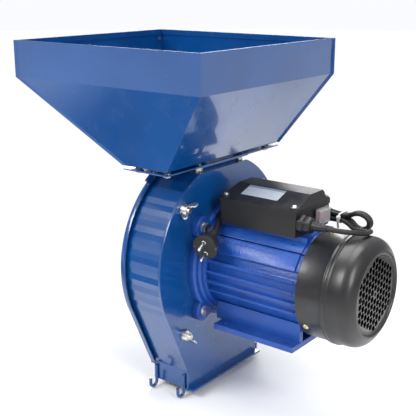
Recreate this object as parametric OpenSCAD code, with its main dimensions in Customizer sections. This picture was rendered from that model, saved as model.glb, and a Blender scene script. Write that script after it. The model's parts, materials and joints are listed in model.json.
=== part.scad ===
// Electric hammer mill for grain: hopper, slide gate, round milling drum with
// swinging hammers and sieve, and a foot-mounted motor on the drum's side plate.
// Lengths are in millimetres. The origin is the middle of the motor foot's bolt
// pattern, on the foot's underside. +X runs along the shaft from mill to fan.

/* [Milling drum] */
// Outside radius of the drum's side plate
drum_r = 150; // [135:1:185]
// Height of the drum's centre above the shaft
drum_lift = 4; // [0:0.5:8]
// Clear width between the two sides of the drum
chamber_w = 65; // [54:1:80]
// Thickness of the motor-side plate
plate_t = 3; // [2:0.5:5]
// Thickness of the rolled drum band
band_t = 2; // [1:0.25:3]
// How far the band lies inside the side plate's edge
band_inset = 2; // [1:0.5:4]
// How deep the band's pressed waves are
band_wave = 0.9; // [0:0.1:2]
// Height of the drum's flat top above the shaft
top_h = 142; // [125:1:148]
// Depth of the outlet's mouth below the shaft
outlet_depth = 192; // [180:1:240]
// Width of the outlet
outlet_w = 178; // [150:1:200]
// Length of the outlet's straight neck
neck_len = 30; // [20:1:45]
// Width of the turned lip under the outlet
lip_w = 10; // [5:1:15]

/* [Cover] */
// Thickness of the cover plate
cover_t = 2; // [1.5:0.25:4]
// Thickness of the rubber seal behind the cover
gasket_t = 2; // [1:0.5:4]
// How far the cover stands out past the drum's edge
cover_over = 4; // [3:0.5:8]
// Depth of the cover below the shaft
cover_depth = 165; // [150:1:178]
// Distance of the clamp bolts from the shaft along Y and Z
clamp_off = 97; // [88:1:98]
// Radius of the clamp bolts
clamp_r = 4; // [3:0.5:5]

/* [Sieve and hammers] */
// Inside radius of the sieve
sieve_r = 116; // [112:1:126]
// Thickness of the sieve
sieve_t = 1.2; // [0.8:0.1:2]
// Radius of the sieve's holes
sieve_hole_r = 3; // [1.5:0.5:4]
// Radius of the circle that the hammer pins stand on
pin_circle_r = 50; // [46:1:52]
// Radius of the hammer pins
pin_r = 5; // [4:0.5:6]
// Distance from a hammer's hole to its tip
hammer_reach = 54; // [44:1:56]
// Width of a hammer
hammer_w = 22; // [16:1:24]
// Thickness of a hammer
hammer_t = 3.8; // [3:0.1:4]
// Thickness of the rotor's discs
disc_t = 4; // [3:0.5:5]
// Radius of the rotor's hub
hub_r = 18; // [15:0.5:20]
// Radial running clearance of pins and nuts
run_gap = 0.08; // [0.03:0.01:0.1]

/* [Hopper] */
// Length of the hopper's rim along the shaft
hopper_len = 348; // [280:1:420]
// Width of the hopper's rim
hopper_w = 326; // [290:1:400]
// How far the rim is offset away from the motor
hopper_shift = 55; // [0:1:90]
// Height of the rim's top above the shaft
rim_top = 325; // [280:1:400]
// Height of the upright rim band
rim_h = 54; // [30:1:80]
// Length of the hopper's foot along the shaft
base_len = 80; // [74:1:90]
// Width of the hopper's foot
base_w = 276; // [200:1:280]
// Thickness of the hopper's sheet
hopper_t = 1.5; // [1:0.25:3]
// Height of the rolled hem on the rim
hem_h = 9; // [5:1:14]
// Gap between the drum's flat top and the chute flange
chute_gap = 10; // [8:1:16]
// Clear length of the feed throat along the shaft
throat_len = 46; // [30:1:48]
// Clear width of the feed throat
throat_w = 80; // [50:1:84]

/* [Motor] */
// Height of the shaft above the foot's underside
shaft_h = 88; // [86:1:110]
// Spacing of the foot holes along the shaft
foot_hole_x = 105; // [80:1:115]
// Spacing of the foot holes across the shaft
foot_hole_y = 114; // [108:1:124]
// Radius of the foot holes
foot_hole_r = 4.5; // [3.5:0.5:5.5]
// Thickness of the foot plate
foot_t = 8; // [5:1:10]
// Radius over the motor's fins
fin_r = 75; // [72:0.5:78]
// Radius of the motor's tube under the fins
tube_r = 68; // [67:0.5:70]
// Length of the finned motor frame
frame_len = 159; // [140:1:200]
// Offset of the flange bolts from the shaft along Y and Z
flange_off = 65; // [60:1:68]
// Radius of the flange bolts
flange_bolt_r = 4; // [3:0.5:5]
// Radius of the flange's disc
flange_r = 88; // [84:1:92]
// Radius of the shaft in the bearings
shaft_r = 10; // [9:0.5:11]
// Radius of the shaft in the rotor's hub
drive_r = 9.5; // [8:0.5:9.5]

/* [Fan cover] */
// Outside radius of the fan cover
cowl_r = 77.5; // [77:0.5:82]
// Length of the fan cover
cowl_len = 83; // [75:1:110]
// Thickness of the fan cover
cowl_t = 1.5; // [1:0.25:2.5]
// Radius of the ring round the grille
cowl_ring_r = 60; // [56:1:64]
// Radius of the perforated grille
grille_r = 50; // [44:1:52]
// Spacing of the grille's holes
grille_pitch = 10; // [9:0.5:14]

/* [Terminal box] */
// Length of the terminal box
box_len = 127; // [110:1:135]
// Width of the terminal box
box_w = 90; // [84:1:92]
// Height of the box's tub
box_h = 31; // [30:1:40]
// Wall of the box
box_wall = 2.5; // [2:0.25:4]
// Height of the lid's upright lip
lid_lip = 7; // [5:1:10]
// Rise of the lid's slopes
lid_rise = 15; // [8:1:20]

/* [Cord] */
// Diameter of the mains cord
cord_d = 7; // [6:0.5:7]

/* [Hidden] */
$fn = 72;

// Colours
mill_blue = [0.02, 0.20, 0.50];
motor_blue = [0.05, 0.25, 0.72];
zinc = [0.78, 0.78, 0.76];
steel = [0.62, 0.63, 0.65];
black_plastic = [0.09, 0.09, 0.10];

// Stations along the shaft, counted from the outer face of the side plate
foot_cx = 100;
chamber_end = -plate_t - chamber_w;
chamber_mid = -plate_t - chamber_w / 2;
gasket_end = chamber_end - gasket_t;
cover_face = gasket_end - cover_t;
flange_t = 12;
step_end = 16;
step_r = 79;
collar_r = 74;
frame_start = 22;
frame_end = frame_start + frame_len;
cowl_start = frame_end - 5;
cowl_end = cowl_start + cowl_len;
bearing_r = 23.5;
bearing_w = 14;
front_bearing_x = 8;
rear_shield_t = 12;
rear_bearing_x = frame_end - 4;

// Band outline
band_r = drum_r - band_inset;
band_top = top_h - band_inset;
neck_top = outlet_depth - neck_len;
facet_step = 3.5;

// Heights over the drum
chute_wall = 2;
flange_z = band_top + chute_gap;
base_z = flange_z + 2;
gate_z = base_z + 2;
guide_h = 4;
floor_z = gate_z + guide_h;
chute_foot = sqrt(pow(sieve_r + sieve_t, 2) - pow(throat_w / 2 + chute_wall, 2)) + 1;
chute_bolt_x = chamber_w / 2 - 6.5;
chute_bolt_y = throat_w / 2 + 9.5;
hopper_bolt_r = 3;
floor_bolt_y = base_w / 2 - 18;
gate_gap = 0.1;
guide_t = 1.5;
gate_half = throat_w / 2 + 3;
gate_t = 3;

// Hopper outline
rim_x0 = chamber_mid - hopper_shift - hopper_len / 2;
rim_x1 = chamber_mid - hopper_shift + hopper_len / 2;
foot_x0 = chamber_mid - base_len / 2 + 1;
foot_x1 = chamber_mid + base_len / 2 - 1;
foot_y = base_w / 2 - 1;
rim_y = hopper_w / 2;
rim_low = rim_top - rim_h;
seam_w = 3;

// Rotor
rotor_x0 = chamber_mid - 18.5 - disc_t;
rotor_x1 = chamber_mid + 21.5 + disc_t;
slot_w = (rotor_x1 - rotor_x0 - 2 * disc_t) / 8;
disc_r = pin_circle_r + 16;
hammer_back = hammer_w / 2;
spacer_r = pin_r + 3;
drive_end = rotor_x0 + 2;

// Motor inside
stator_r = 62;
stator_bore = 38;
air_gap = 0.4;
stator_x0 = frame_start + 34;
stator_len = 86;
rotor_r = stator_bore - air_gap;
fan_x0 = frame_end + rear_shield_t + 4;
fan_r = cowl_r - cowl_t - 8;

// Foot plate
pad_w = foot_hole_y + 20;
pad_x0 = foot_cx - foot_hole_x / 2 - 16;
pad_x1 = foot_cx + foot_hole_x / 2 + 16;
foot_screw_x = [pad_x0 + 24, pad_x1 - 24];

// Terminal box
box_x0 = 27;
box_x1 = box_x0 + box_len;
box_z0 = tube_r + 3;
box_y = box_w / 2;
seam_z = box_z0 + box_h;
lip_z = seam_z + lid_lip;
roof_z = lip_z + lid_rise;
roof_y0 = -box_y + 42;
roof_y1 = box_y - 14;
roof_in = 3;
gland_y = -33;
gland_z = box_z0 + 19;
switch_y = 20.5;
switch_z = box_z0 + 18;

// Cord, plug and hank, in the same frame as the stations above
cord_r = cord_d / 2;
hank_x0 = 70;
hank_x1 = 198;
hank_fold_r = 21;
hank_loop_r = 12;
hank_y0 = 46;
hank_strands = 4;
hank_z = 87;
loop_z = 80;
tie_x = 167;
gland_tip = 196;
cord_route = [
    [196, -33, 90], [203, -32.5, 90], [211, -29.5, 89], [219, -24.5, 88],
    [226, -17, 86.5], [231.5, -8, 84.5], [235, 1.5, 82.5], [235.5, 11.5, 81.5],
    [233, 22, 79.5], [228, 31.5, 76.5], [220.5, 39.5, 73], [211.5, 45.5, 69.5],
    [205, 49, 69], [198, 50, 68]];
lead_route = [
    [70, 70.5, 66], [58, 70, 66], [47, 67.5, 67], [37, 62, 68.5],
    [28.5, 54.5, 70.5], [22, 45.5, 73.5], [18, 36, 76.5], [16.2, 26, 79.5],
    [16, 15, 82], [16, 4, 83.5], [16, -7, 83.5], [16.3, -17, 82],
    [17.3, -27, 79], [19, -35, 75.8], [21.2, -41.5, 72.2], [23.6, -47.3, 68.6],
    [26.1, -52.4, 65.3], [28.6, -57, 62.3]];
plug_axis = [0.222, -0.913, -0.343];
plug_tail = 20;
plug_cone = 18;
plug_face_t = 6;
plug_r = 19;
pin_len = 19;

// ---- Helpers

module from_plate() {
    translate([-foot_cx, 0, shaft_h]) children();
}

module x_cyl(x0, x1, r, y = 0, z = 0) {
    translate([x0, y, z]) rotate([0, 90, 0]) cylinder(h = x1 - x0, r = r);
}

module x_cone(x0, x1, r0, r1, y = 0, z = 0) {
    translate([x0, y, z]) rotate([0, 90, 0]) cylinder(h = x1 - x0, r1 = r0, r2 = r1);
}

module x_ring(x0, x1, ro, ri, y = 0, z = 0) {
    difference() {
        x_cyl(x0, x1, ro, y, z);
        x_cyl(x0 - 1, x1 + 1, ri, y, z);
    }
}

// Extrudes a flat shape drawn in Y and Z from x0 to x1
module yz_extrude(x0, x1) {
    translate([x0, 0, 0]) rotate([90, 0, 90]) linear_extrude(x1 - x0) children();
}

// Extrudes a flat shape drawn in X and Z from y0 to y1
module xz_extrude(y0, y1) {
    translate([0, y1, 0]) rotate([90, 0, 0]) linear_extrude(y1 - y0) children();
}

// A box given by its two corners
module block(low, high) {
    translate(low) cube(high - low);
}

module z_cyl(x, y, z0, z1, r) {
    translate([x, y, z0]) cylinder(h = z1 - z0, r = r);
}

// Turns a shape that stands on +Z so that it points along v
module aim(at, v) {
    translate(at) rotate([0, acos(v[2] / norm(v)), atan2(v[1], v[0])]) children();
}

module four_clamps() {
    for (y = [-1, 1], z = [-1, 1]) translate([0, y * clamp_off, z * clamp_off]) children();
}

module four_flange_bolts() {
    for (y = [-1, 1], z = [-1, 1]) translate([0, y * flange_off, z * flange_off]) children();
}

// ---- Drum outline, drawn in Y and Z

// Where a line from [w, -z] touches the circle of radius r round the drum's centre
function touch_angle(r, w, z) =
    atan2(-z - drum_lift, w) + acos(r / norm([w, z + drum_lift]));

function arc_pt(r, a) = [r * cos(a), drum_lift + r * sin(a)];

// The straight sides of flat plates meet the circle this many degrees past the tangent point
side_cut = 3;

module drum_shape(grow = 0, top = top_h) {
    r = drum_r + grow;
    w = outlet_w / 2 + grow;
    a = touch_angle(r, w, neck_top) + side_cut;
    p = arc_pt(r, a);
    intersection() {
        translate([-2 * r, -outlet_depth]) square([4 * r, outlet_depth + top]);
        union() {
            translate([0, drum_lift]) circle(r = r);
            polygon([p, [w, -neck_top], [w, -outlet_depth - 1], [-w, -outlet_depth - 1],
                     [-w, -neck_top], [-p[0], p[1]]]);
        }
    }
}

// The band's outline is rolled in short waves between the two tangent points
function band_pts(r, w) =
    let (a0 = touch_angle(r, w, neck_top), n = 2 * round((90 - a0) / facet_step), s = (180 - 2 * a0) / n)
    concat([[w, -outlet_depth], [w, -neck_top]],
           [for (i = [0:n]) arc_pt(r - band_wave * (i % 2), a0 + i * s)],
           [[-w, -neck_top], [-w, -outlet_depth]]);

module band_shape(grow) {
    r = band_r + grow;
    intersection() {
        translate([-2 * r, -outlet_depth]) square([4 * r, outlet_depth + band_top + grow]);
        polygon(band_pts(r, outlet_w / 2 - band_inset + grow));
    }
}

// ---- Drum

module motor_side_plate() {
    color(mill_blue) from_plate() {
        difference() {
            yz_extrude(-plate_t, 0) drum_shape();
            x_cyl(-plate_t - 1, 1, bearing_r + 2.5);
            four_clamps() x_cyl(-plate_t - 1, 1, clamp_r + 0.5);
            four_flange_bolts() x_cyl(-plate_t - 1, 1, flange_bolt_r + 0.3);
        }
        block([0, -outlet_w / 2, -outlet_depth], [lip_w, outlet_w / 2, -outlet_depth + plate_t]);
        x_ring(-plate_t - 6, -plate_t, sieve_r - 0.1, sieve_r - 2.5);
    }
}

module drum_band() {
    color(mill_blue) from_plate() difference() {
        union() {
            difference() {
                yz_extrude(chamber_end, -plate_t) band_shape(0);
                yz_extrude(chamber_end - 1, -plate_t + 1) band_shape(-band_t);
                block([chamber_end - 1, -outlet_w / 2 + band_inset + band_t, -outlet_depth - 1],
                      [1 - plate_t, outlet_w / 2 - band_inset - band_t, -outlet_depth + band_t + 1]);
            }
            // the fixed strip that closes the outlet below the cover
            yz_extrude(gasket_end, chamber_end) intersection() {
                drum_shape(-band_inset);
                translate([-outlet_w, -outlet_depth]) square([2 * outlet_w, outlet_depth - cover_depth - 1]);
            }
        }
        block([chamber_mid - throat_len / 2 - chute_wall, -throat_w / 2 - chute_wall, band_top - 20],
              [chamber_mid + throat_len / 2 + chute_wall, throat_w / 2 + chute_wall, band_top + 5]);
        for (x = [-1, 1], y = [-1, 1])
            z_cyl(chamber_mid + x * chute_bolt_x, y * chute_bolt_y, band_top - 20, band_top + 5,
                  hopper_bolt_r + 0.3);
    }
}

hook_wire = 2.5;
hook_r = 7;
hook_top = -outlet_depth + 24;

// A wire welded to the outlet's side and bent round to a hook
function hook_pts(x, side) =
    let (y = outlet_w / 2 - band_inset + hook_wire - 0.3, z = -outlet_depth - 2)
    concat([[x, side * y, hook_top]],
           [for (a = [0:20:180]) [x, side * (y + hook_r - hook_r * cos(a)), z - hook_r * sin(a)]],
           [[x, side * (y + 2 * hook_r), z + 9]]);

module sack_hooks() {
    color(mill_blue) from_plate()
        for (x = [chamber_end + 4, -plate_t - 6], side = [-1, 1]) tube(hook_pts(x, side), hook_wire, 12, [1, 0, 0]);
}

module feed_chute() {
    color(mill_blue) from_plate() difference() {
        union() {
            block([chamber_mid - throat_len / 2 - chute_wall, -throat_w / 2 - chute_wall, chute_foot],
                  [chamber_mid + throat_len / 2 + chute_wall, throat_w / 2 + chute_wall, base_z]);
            block([chamber_mid - base_len / 2 + 2, -chute_bolt_y - 8, flange_z],
                  [chamber_mid + base_len / 2 - 2, chute_bolt_y + 8, base_z]);
        }
        block([chamber_mid - throat_len / 2, -throat_w / 2, chute_foot - 1],
              [chamber_mid + throat_len / 2, throat_w / 2, base_z + 1]);
        for (x = [-1, 1], y = [-1, 1])
            z_cyl(chamber_mid + x * chute_bolt_x, y * chute_bolt_y, flange_z - 1, base_z + 1,
                  hopper_bolt_r + 0.3);
    }
}

// ---- Hopper foot and slide gate

module hopper_base() {
    color(mill_blue) from_plate() {
        difference() {
            block([chamber_mid - base_len / 2, -base_w / 2, base_z],
                  [chamber_mid + base_len / 2, base_w / 2, gate_z]);
            block([chamber_mid - throat_len / 2, -throat_w / 2, base_z - 1],
                  [chamber_mid + throat_len / 2, throat_w / 2, gate_z + 1]);
            for (x = [-1, 1], y = [-chute_bolt_y, chute_bolt_y, -floor_bolt_y, floor_bolt_y])
                z_cyl(chamber_mid + x * chute_bolt_x, y, base_z - 1, gate_z + 1, hopper_bolt_r + 0.3);
        }
        for (y = [-1, 1]) translate([0, y * (gate_half + gate_gap + guide_t / 2), 0])
            block([chamber_mid - base_len / 2 + 4, -guide_t / 2, gate_z],
                  [chamber_mid + base_len / 2 - 4, guide_t / 2, floor_z]);
    }
}

module slide_gate() {
    x0 = chamber_mid - throat_len / 2 - 8;
    x1 = chamber_mid + throat_len / 2 + 4;
    z0 = gate_z + gate_gap;
    tab_x = chamber_mid - base_len / 2 - 24;
    color(zinc) from_plate() {
        block([x0, -gate_half, z0], [x1, gate_half, z0 + gate_t]);
        block([tab_x, -16, z0], [x0 + 1, 16, z0 + gate_t]);
        block([tab_x, -16, z0 - 14], [tab_x + gate_t, 16, z0 + 1]);
    }
}

module hopper_floor() {
    color(mill_blue) from_plate() difference() {
        intersection() {
            funnel_void();
            block([foot_x0, -foot_y, floor_z], [foot_x1, foot_y, floor_z + hopper_t]);
        }
        block([chamber_mid - throat_len / 2, -throat_w / 2, floor_z - 1],
              [chamber_mid + throat_len / 2, throat_w / 2, floor_z + hopper_t + 1]);
        for (x = [-1, 1], y = [-1, 1])
            z_cyl(chamber_mid + x * chute_bolt_x, y * floor_bolt_y, floor_z - 1,
                  floor_z + hopper_t + 1, hopper_bolt_r + 0.3);
    }
}

// ---- Hopper walls: one funnel with an upright rim, cut into four panels at its corners

// Sideways thickness of a sloping wall that moves by run over its rise
function slant(run) = hopper_t * norm([run, rim_low - floor_z]) / (rim_low - floor_z);

// Profile of the funnel seen along one side: f0 and f1 are its foot, r0 and r1 its rim
module funnel_profile(f0, f1, r0, r1, grow = 0, low = floor_z, high = rim_top) {
    k0 = (f0 - r0) / (rim_low - floor_z);
    k1 = (r1 - f1) / (rim_low - floor_z);
    polygon([
        [f0 - grow + k0 * (floor_z - low), low], [r0 - grow, rim_low], [r0 - grow, high],
        [r1 + grow, high], [r1 + grow, rim_low], [f1 + grow - k1 * (floor_z - low), low]]);
}

module funnel_solid(grow = 0) {
    intersection() {
        xz_extrude(-rim_y - 20, rim_y + 20) funnel_profile(foot_x0, foot_x1, rim_x0, rim_x1, grow);
        yz_extrude(rim_x0 - 20, rim_x1 + 20) funnel_profile(-foot_y, foot_y, -rim_y, rim_y, grow);
    }
}

module funnel_void() {
    t0 = slant(foot_x0 - rim_x0);
    t1 = slant(rim_x1 - foot_x1);
    ty = slant(rim_y - foot_y);
    intersection() {
        xz_extrude(-rim_y, rim_y)
            funnel_profile(foot_x0 + t0, foot_x1 - t1, rim_x0 + hopper_t, rim_x1 - hopper_t, 0,
                           floor_z - 1, rim_top + 1);
        yz_extrude(rim_x0, rim_x1)
            funnel_profile(-foot_y + ty, foot_y - ty, -rim_y + hopper_t, rim_y - hopper_t, 0,
                           floor_z - 1, rim_top + 1);
    }
}

// The plan of one panel, between the lines through its two corners
module panel_plan(fa, fb, ra, rb) {
    polygon([fa - (ra - fa) * 0.1, ra + (ra - fa) * 0.2, rb + (rb - fb) * 0.2, fb - (rb - fb) * 0.1]);
}

module funnel_panel(fa, fb, ra, rb) {
    intersection() {
        difference() {
            funnel_solid();
            funnel_void();
        }
        translate([0, 0, floor_z]) linear_extrude(rim_top - floor_z) panel_plan(fa, fb, ra, rb);
    }
}

// A folded seam that stands out along the corner from foot corner f to rim corner r
module corner_seam(f, r) {
    d = (r - f) / norm(r - f);
    n = [-d[1], d[0]] * hopper_t / 2;
    intersection() {
        difference() {
            funnel_solid(seam_w);
            funnel_solid();
        }
        translate([0, 0, floor_z]) linear_extrude(rim_top - floor_z)
            polygon([f - 6 * d + n, r + 6 * d + n, r + 6 * d - n, f - 6 * d - n]);
    }
}

// Rolled hem inside the rim, along X or along Y
module hem(low, high) {
    block([low[0], low[1], rim_top - hem_h], [high[0], high[1], rim_top]);
}

hem_t = hopper_t;
function corners(x0, x1, y) = [[x0, -y], [x1, -y], [x1, y], [x0, y]];
foot_pts = corners(foot_x0, foot_x1, foot_y);
rim_pts = corners(rim_x0, rim_x1, rim_y);
// The end walls stand between the two side walls, so they are cut one sheet further in
foot_cuts = corners(foot_x0, foot_x1, foot_y - hopper_t);
rim_cuts = corners(rim_x0, rim_x1, rim_y - hopper_t);
tab_w = 12;

module hopper_front_wall() {
    color(mill_blue) from_plate() {
        funnel_panel(foot_cuts[0], foot_cuts[1], rim_cuts[0], rim_cuts[1]);
        corner_seam(foot_pts[0], rim_pts[0]);
        hem([rim_x0 + 2 * hopper_t, -rim_y + hopper_t], [rim_x1 - 2 * hopper_t, -rim_y + hopper_t + hem_t]);
        difference() {
            corner_tab(-1);
            rivet_holes();
        }
    }
}

module hopper_back_wall() {
    color(mill_blue) from_plate() {
        funnel_panel(foot_cuts[2], foot_cuts[3], rim_cuts[2], rim_cuts[3]);
        corner_seam(foot_pts[2], rim_pts[2]);
        hem([rim_x0 + 2 * hopper_t, rim_y - hopper_t - hem_t], [rim_x1 - 2 * hopper_t, rim_y - hopper_t]);
        difference() {
            corner_tab(1);
            rivet_holes();
        }
    }
}

// Upright tab, folded from the side wall along the inside of the outer wall
module corner_tab(side) {
    y0 = side > 0 ? rim_y - hopper_t - tab_w : -rim_y + hopper_t;
    x = rim_x0 + hopper_t;
    block([x, y0, rim_low + 6], [x + hopper_t, y0 + tab_w, rim_top - hem_h - 1]);
}

module hopper_motor_wall() {
    color(mill_blue) from_plate() {
        funnel_panel(foot_cuts[1], foot_cuts[2], rim_cuts[1], rim_cuts[2]);
        hem([rim_x1 - hopper_t - hem_t, -rim_y + 2 * hopper_t + 1], [rim_x1 - hopper_t, rim_y - 2 * hopper_t - 1]);
    }
}

module hopper_outer_wall() {
    color(mill_blue) from_plate() {
        difference() {
            funnel_panel(foot_cuts[3], foot_cuts[0], rim_cuts[3], rim_cuts[0]);
            rivet_holes();
        }
        hem([rim_x0 + hopper_t, -rim_y + 2 * hopper_t + 1], [rim_x0 + hopper_t + hem_t, rim_y - 2 * hopper_t - 1]);
    }
}

rivet_r = 1.6;
rivet_head_r = 3.2;
rivet_zs = [rim_low + 12, rim_top - hem_h - 8];
rivet_y = rim_y - hopper_t - tab_w / 2;

module rivet_holes() {
    for (y = [-1, 1], z = rivet_zs) x_cyl(rim_x0 - 4, rim_x0 + 6, rivet_r, y * rivet_y, z);
}

// Each rivet goes through the outer wall and the side wall's tab behind it
module hopper_rivets() {
    back = rim_x0 + 2 * hopper_t;
    color(zinc) from_plate() for (y = [-1, 1], z = rivet_zs) {
        x_cyl(rim_x0 - 1.2, rim_x0, rivet_head_r, y * rivet_y, z);
        x_cyl(rim_x0, back, rivet_r, y * rivet_y, z);
        x_cyl(back, back + 1.2, rivet_head_r, y * rivet_y, z);
    }
}

// Bolts that hold the chute to the drum, with their sleeves and nuts, and the
// ones that hold the funnel's floor on its foot
module hopper_bolts() {
    color(zinc) from_plate() {
        for (x = [-1, 1], y = [-1, 1]) {
            translate([chamber_mid + x * chute_bolt_x, y * chute_bolt_y, 0]) {
                z_cyl(0, 0, band_top - band_t - 7, gate_z, hopper_bolt_r);
                z_cyl(0, 0, gate_z, gate_z + 3, hopper_bolt_r + 1.5);
                difference() {
                    z_cyl(0, 0, band_top, flange_z, hopper_bolt_r + 2.5);
                    z_cyl(0, 0, band_top - 1, flange_z + 1, hopper_bolt_r);
                }
                difference() {
                    translate([0, 0, band_top - band_t - 5])
                        cylinder(h = 5, r = hopper_bolt_r + 2.7, $fn = 6);
                    z_cyl(0, 0, band_top - band_t - 6, band_top, hopper_bolt_r);
                }
            }
            translate([chamber_mid + x * chute_bolt_x, y * floor_bolt_y, 0]) {
                z_cyl(0, 0, base_z - 6, floor_z + hopper_t, hopper_bolt_r);
                z_cyl(0, 0, floor_z + hopper_t, floor_z + hopper_t + 2.5, hopper_bolt_r + 2.5);
                difference() {
                    z_cyl(0, 0, gate_z, floor_z, hopper_bolt_r + 2.5);
                    z_cyl(0, 0, gate_z - 1, floor_z + 1, hopper_bolt_r);
                }
                difference() {
                    translate([0, 0, base_z - 5]) cylinder(h = 5, r = hopper_bolt_r + 2.7, $fn = 6);
                    z_cyl(0, 0, base_z - 6, base_z + 1, hopper_bolt_r);
                }
            }
        }
    }
}

// ---- Cover

module cover_shape(grow, top = top_h) {
    intersection() {
        drum_shape(grow, top);
        translate([-2 * drum_r, -cover_depth]) square([4 * drum_r, cover_depth + top_h]);
    }
}

// The two lugs stand on the cover's rim, this far below the drum's flat top
lug_drop = 13.4;
lug_angle = 180 - asin((top_h - lug_drop - drum_lift) / (drum_r + cover_over));

module cover_lug(side) {
    mirror([0, side > 0 ? 1 : 0, 0]) translate([0, 0, drum_lift]) rotate([lug_angle - 90, 0, 0])
        block([cover_face + 1, -7, drum_r + cover_over - 1.5], [cover_face + 5, 7, drum_r + cover_over + 6]);
}

module cover_plate() {
    color(mill_blue) from_plate() difference() {
        union() {
            yz_extrude(cover_face, gasket_end + 6) cover_shape(cover_over);
            for (side = [-1, 1]) cover_lug(side);
        }
        yz_extrude(gasket_end, gasket_end + 7) drum_shape(cover_over - 2, top_h + 5);
        four_clamps() x_cyl(cover_face - 1, gasket_end + 1, clamp_r);
    }
}

module cover_gasket() {
    color([0.05, 0.05, 0.05]) from_plate() difference() {
        yz_extrude(gasket_end, chamber_end) cover_shape(-band_inset, band_top);
        yz_extrude(gasket_end - 1, chamber_end + 1) intersection() {
            drum_shape(-band_inset - 8, top_h - band_inset - 8);
            translate([-2 * drum_r, -cover_depth + 8]) square([4 * drum_r, cover_depth + top_h]);
        }
    }
}

nut_len = 9;
bolt_end = nut_len + 4;

module tie_bolts() {
    color(zinc) from_plate() four_clamps() {
        x_cyl(cover_face, bolt_end, clamp_r);
        x_cone(cover_face - 4, cover_face, clamp_r + 1, 2 * clamp_r + 1);
    }
}

wing_span = 17;

module wing_nut(y, z, turn) {
    color(zinc) from_plate() translate([0, y * clamp_off, z * clamp_off]) rotate([turn, 0, 0])
        difference() {
            union() {
                x_cone(0, nut_len, clamp_r + 5, clamp_r + 2.5);
                for (side = [-1, 1]) hull() {
                    translate([2, 0, side * (clamp_r + 1)]) rotate([90, 0, 0])
                        cylinder(h = 3, r = 2, center = true, $fn = 32);
                    translate([nut_len - 2, 0, side * (clamp_r + 1)]) rotate([90, 0, 0])
                        cylinder(h = 3, r = 2, center = true, $fn = 32);
                    translate([nut_len + 4, 0, side * (wing_span - 4)]) rotate([90, 0, 0])
                        cylinder(h = 2.5, r = 4, center = true, $fn = 32);
                }
            }
            x_cyl(-1, nut_len + 20, clamp_r + run_gap);
        }
}

module wing_nut_1() { wing_nut(-1, 1, -60); }
module wing_nut_2() { wing_nut(-1, -1, 35); }
module wing_nut_3() { wing_nut(1, 1, 50); }
module wing_nut_4() { wing_nut(1, -1, -25); }

// ---- Sieve

sieve_open = 32;
sieve_hole_step = 7.5;
sieve_rows = 5;

module sieve() {
    x0 = gasket_end + 0.3;
    row = (-plate_t - x0 - 14) / (sieve_rows - 1);
    color(steel) from_plate() difference() {
        translate([x0, 0, 0]) rotate([0, 90, 0])
            rotate_extrude(angle = 360 - 2 * sieve_open, start = 180 + sieve_open)
                translate([sieve_r, 0]) square([sieve_t, -plate_t - x0]);
        for (a = [202.5:sieve_hole_step:337.5], i = [0:sieve_rows - 1])
            translate([x0 + 7 + i * row, 0, 0]) rotate([a, 0, 0])
                translate([0, sieve_r - 3, 0]) rotate([-90, 0, 0]) cylinder(h = 8, r = sieve_hole_r, $fn = 16);
    }
}

// ---- Rotor

module shaft_seal() {
    color([0.12, 0.10, 0.09]) from_plate() x_ring(-plate_t, front_bearing_x - 2, bearing_r + 2.5, shaft_r + run_gap);
}

module motor_shaft() {
    key_x = chamber_mid - 8;
    color(steel) from_plate() difference() {
        union() {
            x_cyl(drive_end, rotor_x1 + 2, drive_r);
            x_cyl(rotor_x1 + 2, front_bearing_x + bearing_w + 2, shaft_r);
            x_cyl(front_bearing_x + bearing_w + 2, rear_bearing_x - 2, shaft_r + 3);
            x_cyl(rear_bearing_x - 2, fan_x0 - 2, shaft_r);
            x_cyl(fan_x0 - 2, fan_x0 + 18, shaft_r - 2);
        }
        block([key_x - key_len / 2, -3, drive_r - 3], [key_x + key_len / 2, 3, drive_r + 1]);
        x_cyl(drive_end - 1, drive_end + 22, 4);
    }
}

key_len = 28;

// Feather key, and the washer and bolt on the shaft's end
module rotor_fixings() {
    key_x = chamber_mid - 8;
    color(zinc) from_plate() {
        block([key_x - key_len / 2, -3, drive_r - 3], [key_x + key_len / 2, 3, drive_r + 2.5]);
        difference() {
            x_cyl(rotor_x0 - 2.5, rotor_x0, 14);
            x_cyl(rotor_x0 - 3.5, rotor_x0 + 1, 4);
        }
        x_cyl(rotor_x0 - 2.5, drive_end + 22, 4);
        translate([rotor_x0 - 7.5, 0, 0]) rotate([0, 90, 0]) cylinder(h = 5, r = 7.5, $fn = 6);
    }
}

// Four pin places, at 45 degrees between the axes
module pin_places() {
    for (i = [0:3]) rotate([45 + 90 * i, 0, 0]) translate([0, pin_circle_r, 0]) children();
}

module rotor_frame() {
    key_x = chamber_mid - 8;
    color(steel) from_plate() difference() {
        union() {
            x_cyl(rotor_x0, rotor_x1, hub_r);
            x_cyl(rotor_x0, rotor_x0 + disc_t, disc_r);
            x_cyl(rotor_x1 - disc_t, rotor_x1, disc_r);
        }
        x_cyl(rotor_x0 - 1, rotor_x1 + 1, drive_r);
        block([rotor_x0 - 1, -3, 0], [rotor_x1 + 1, 3, drive_r + 2.5]);
        pin_places() x_cyl(rotor_x0 - 1, rotor_x1 + 1, pin_r);
    }
}

module hammer_pins() {
    color(steel) from_plate() pin_places() {
        x_cyl(rotor_x0 - 1.5, rotor_x1 + 3, pin_r);
        x_cyl(rotor_x0 - 3.5, rotor_x0, pin_r + 2);
        x_cyl(rotor_x1, rotor_x1 + 1.2, pin_r + 2.5);
    }
}

// Odd rows start half a slot further along, so that neighbouring rows pass each other
function hammer_x(row, k) = rotor_x0 + disc_t + slot_w * (2 * k + (row % 2)) + slot_w / 2;

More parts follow.
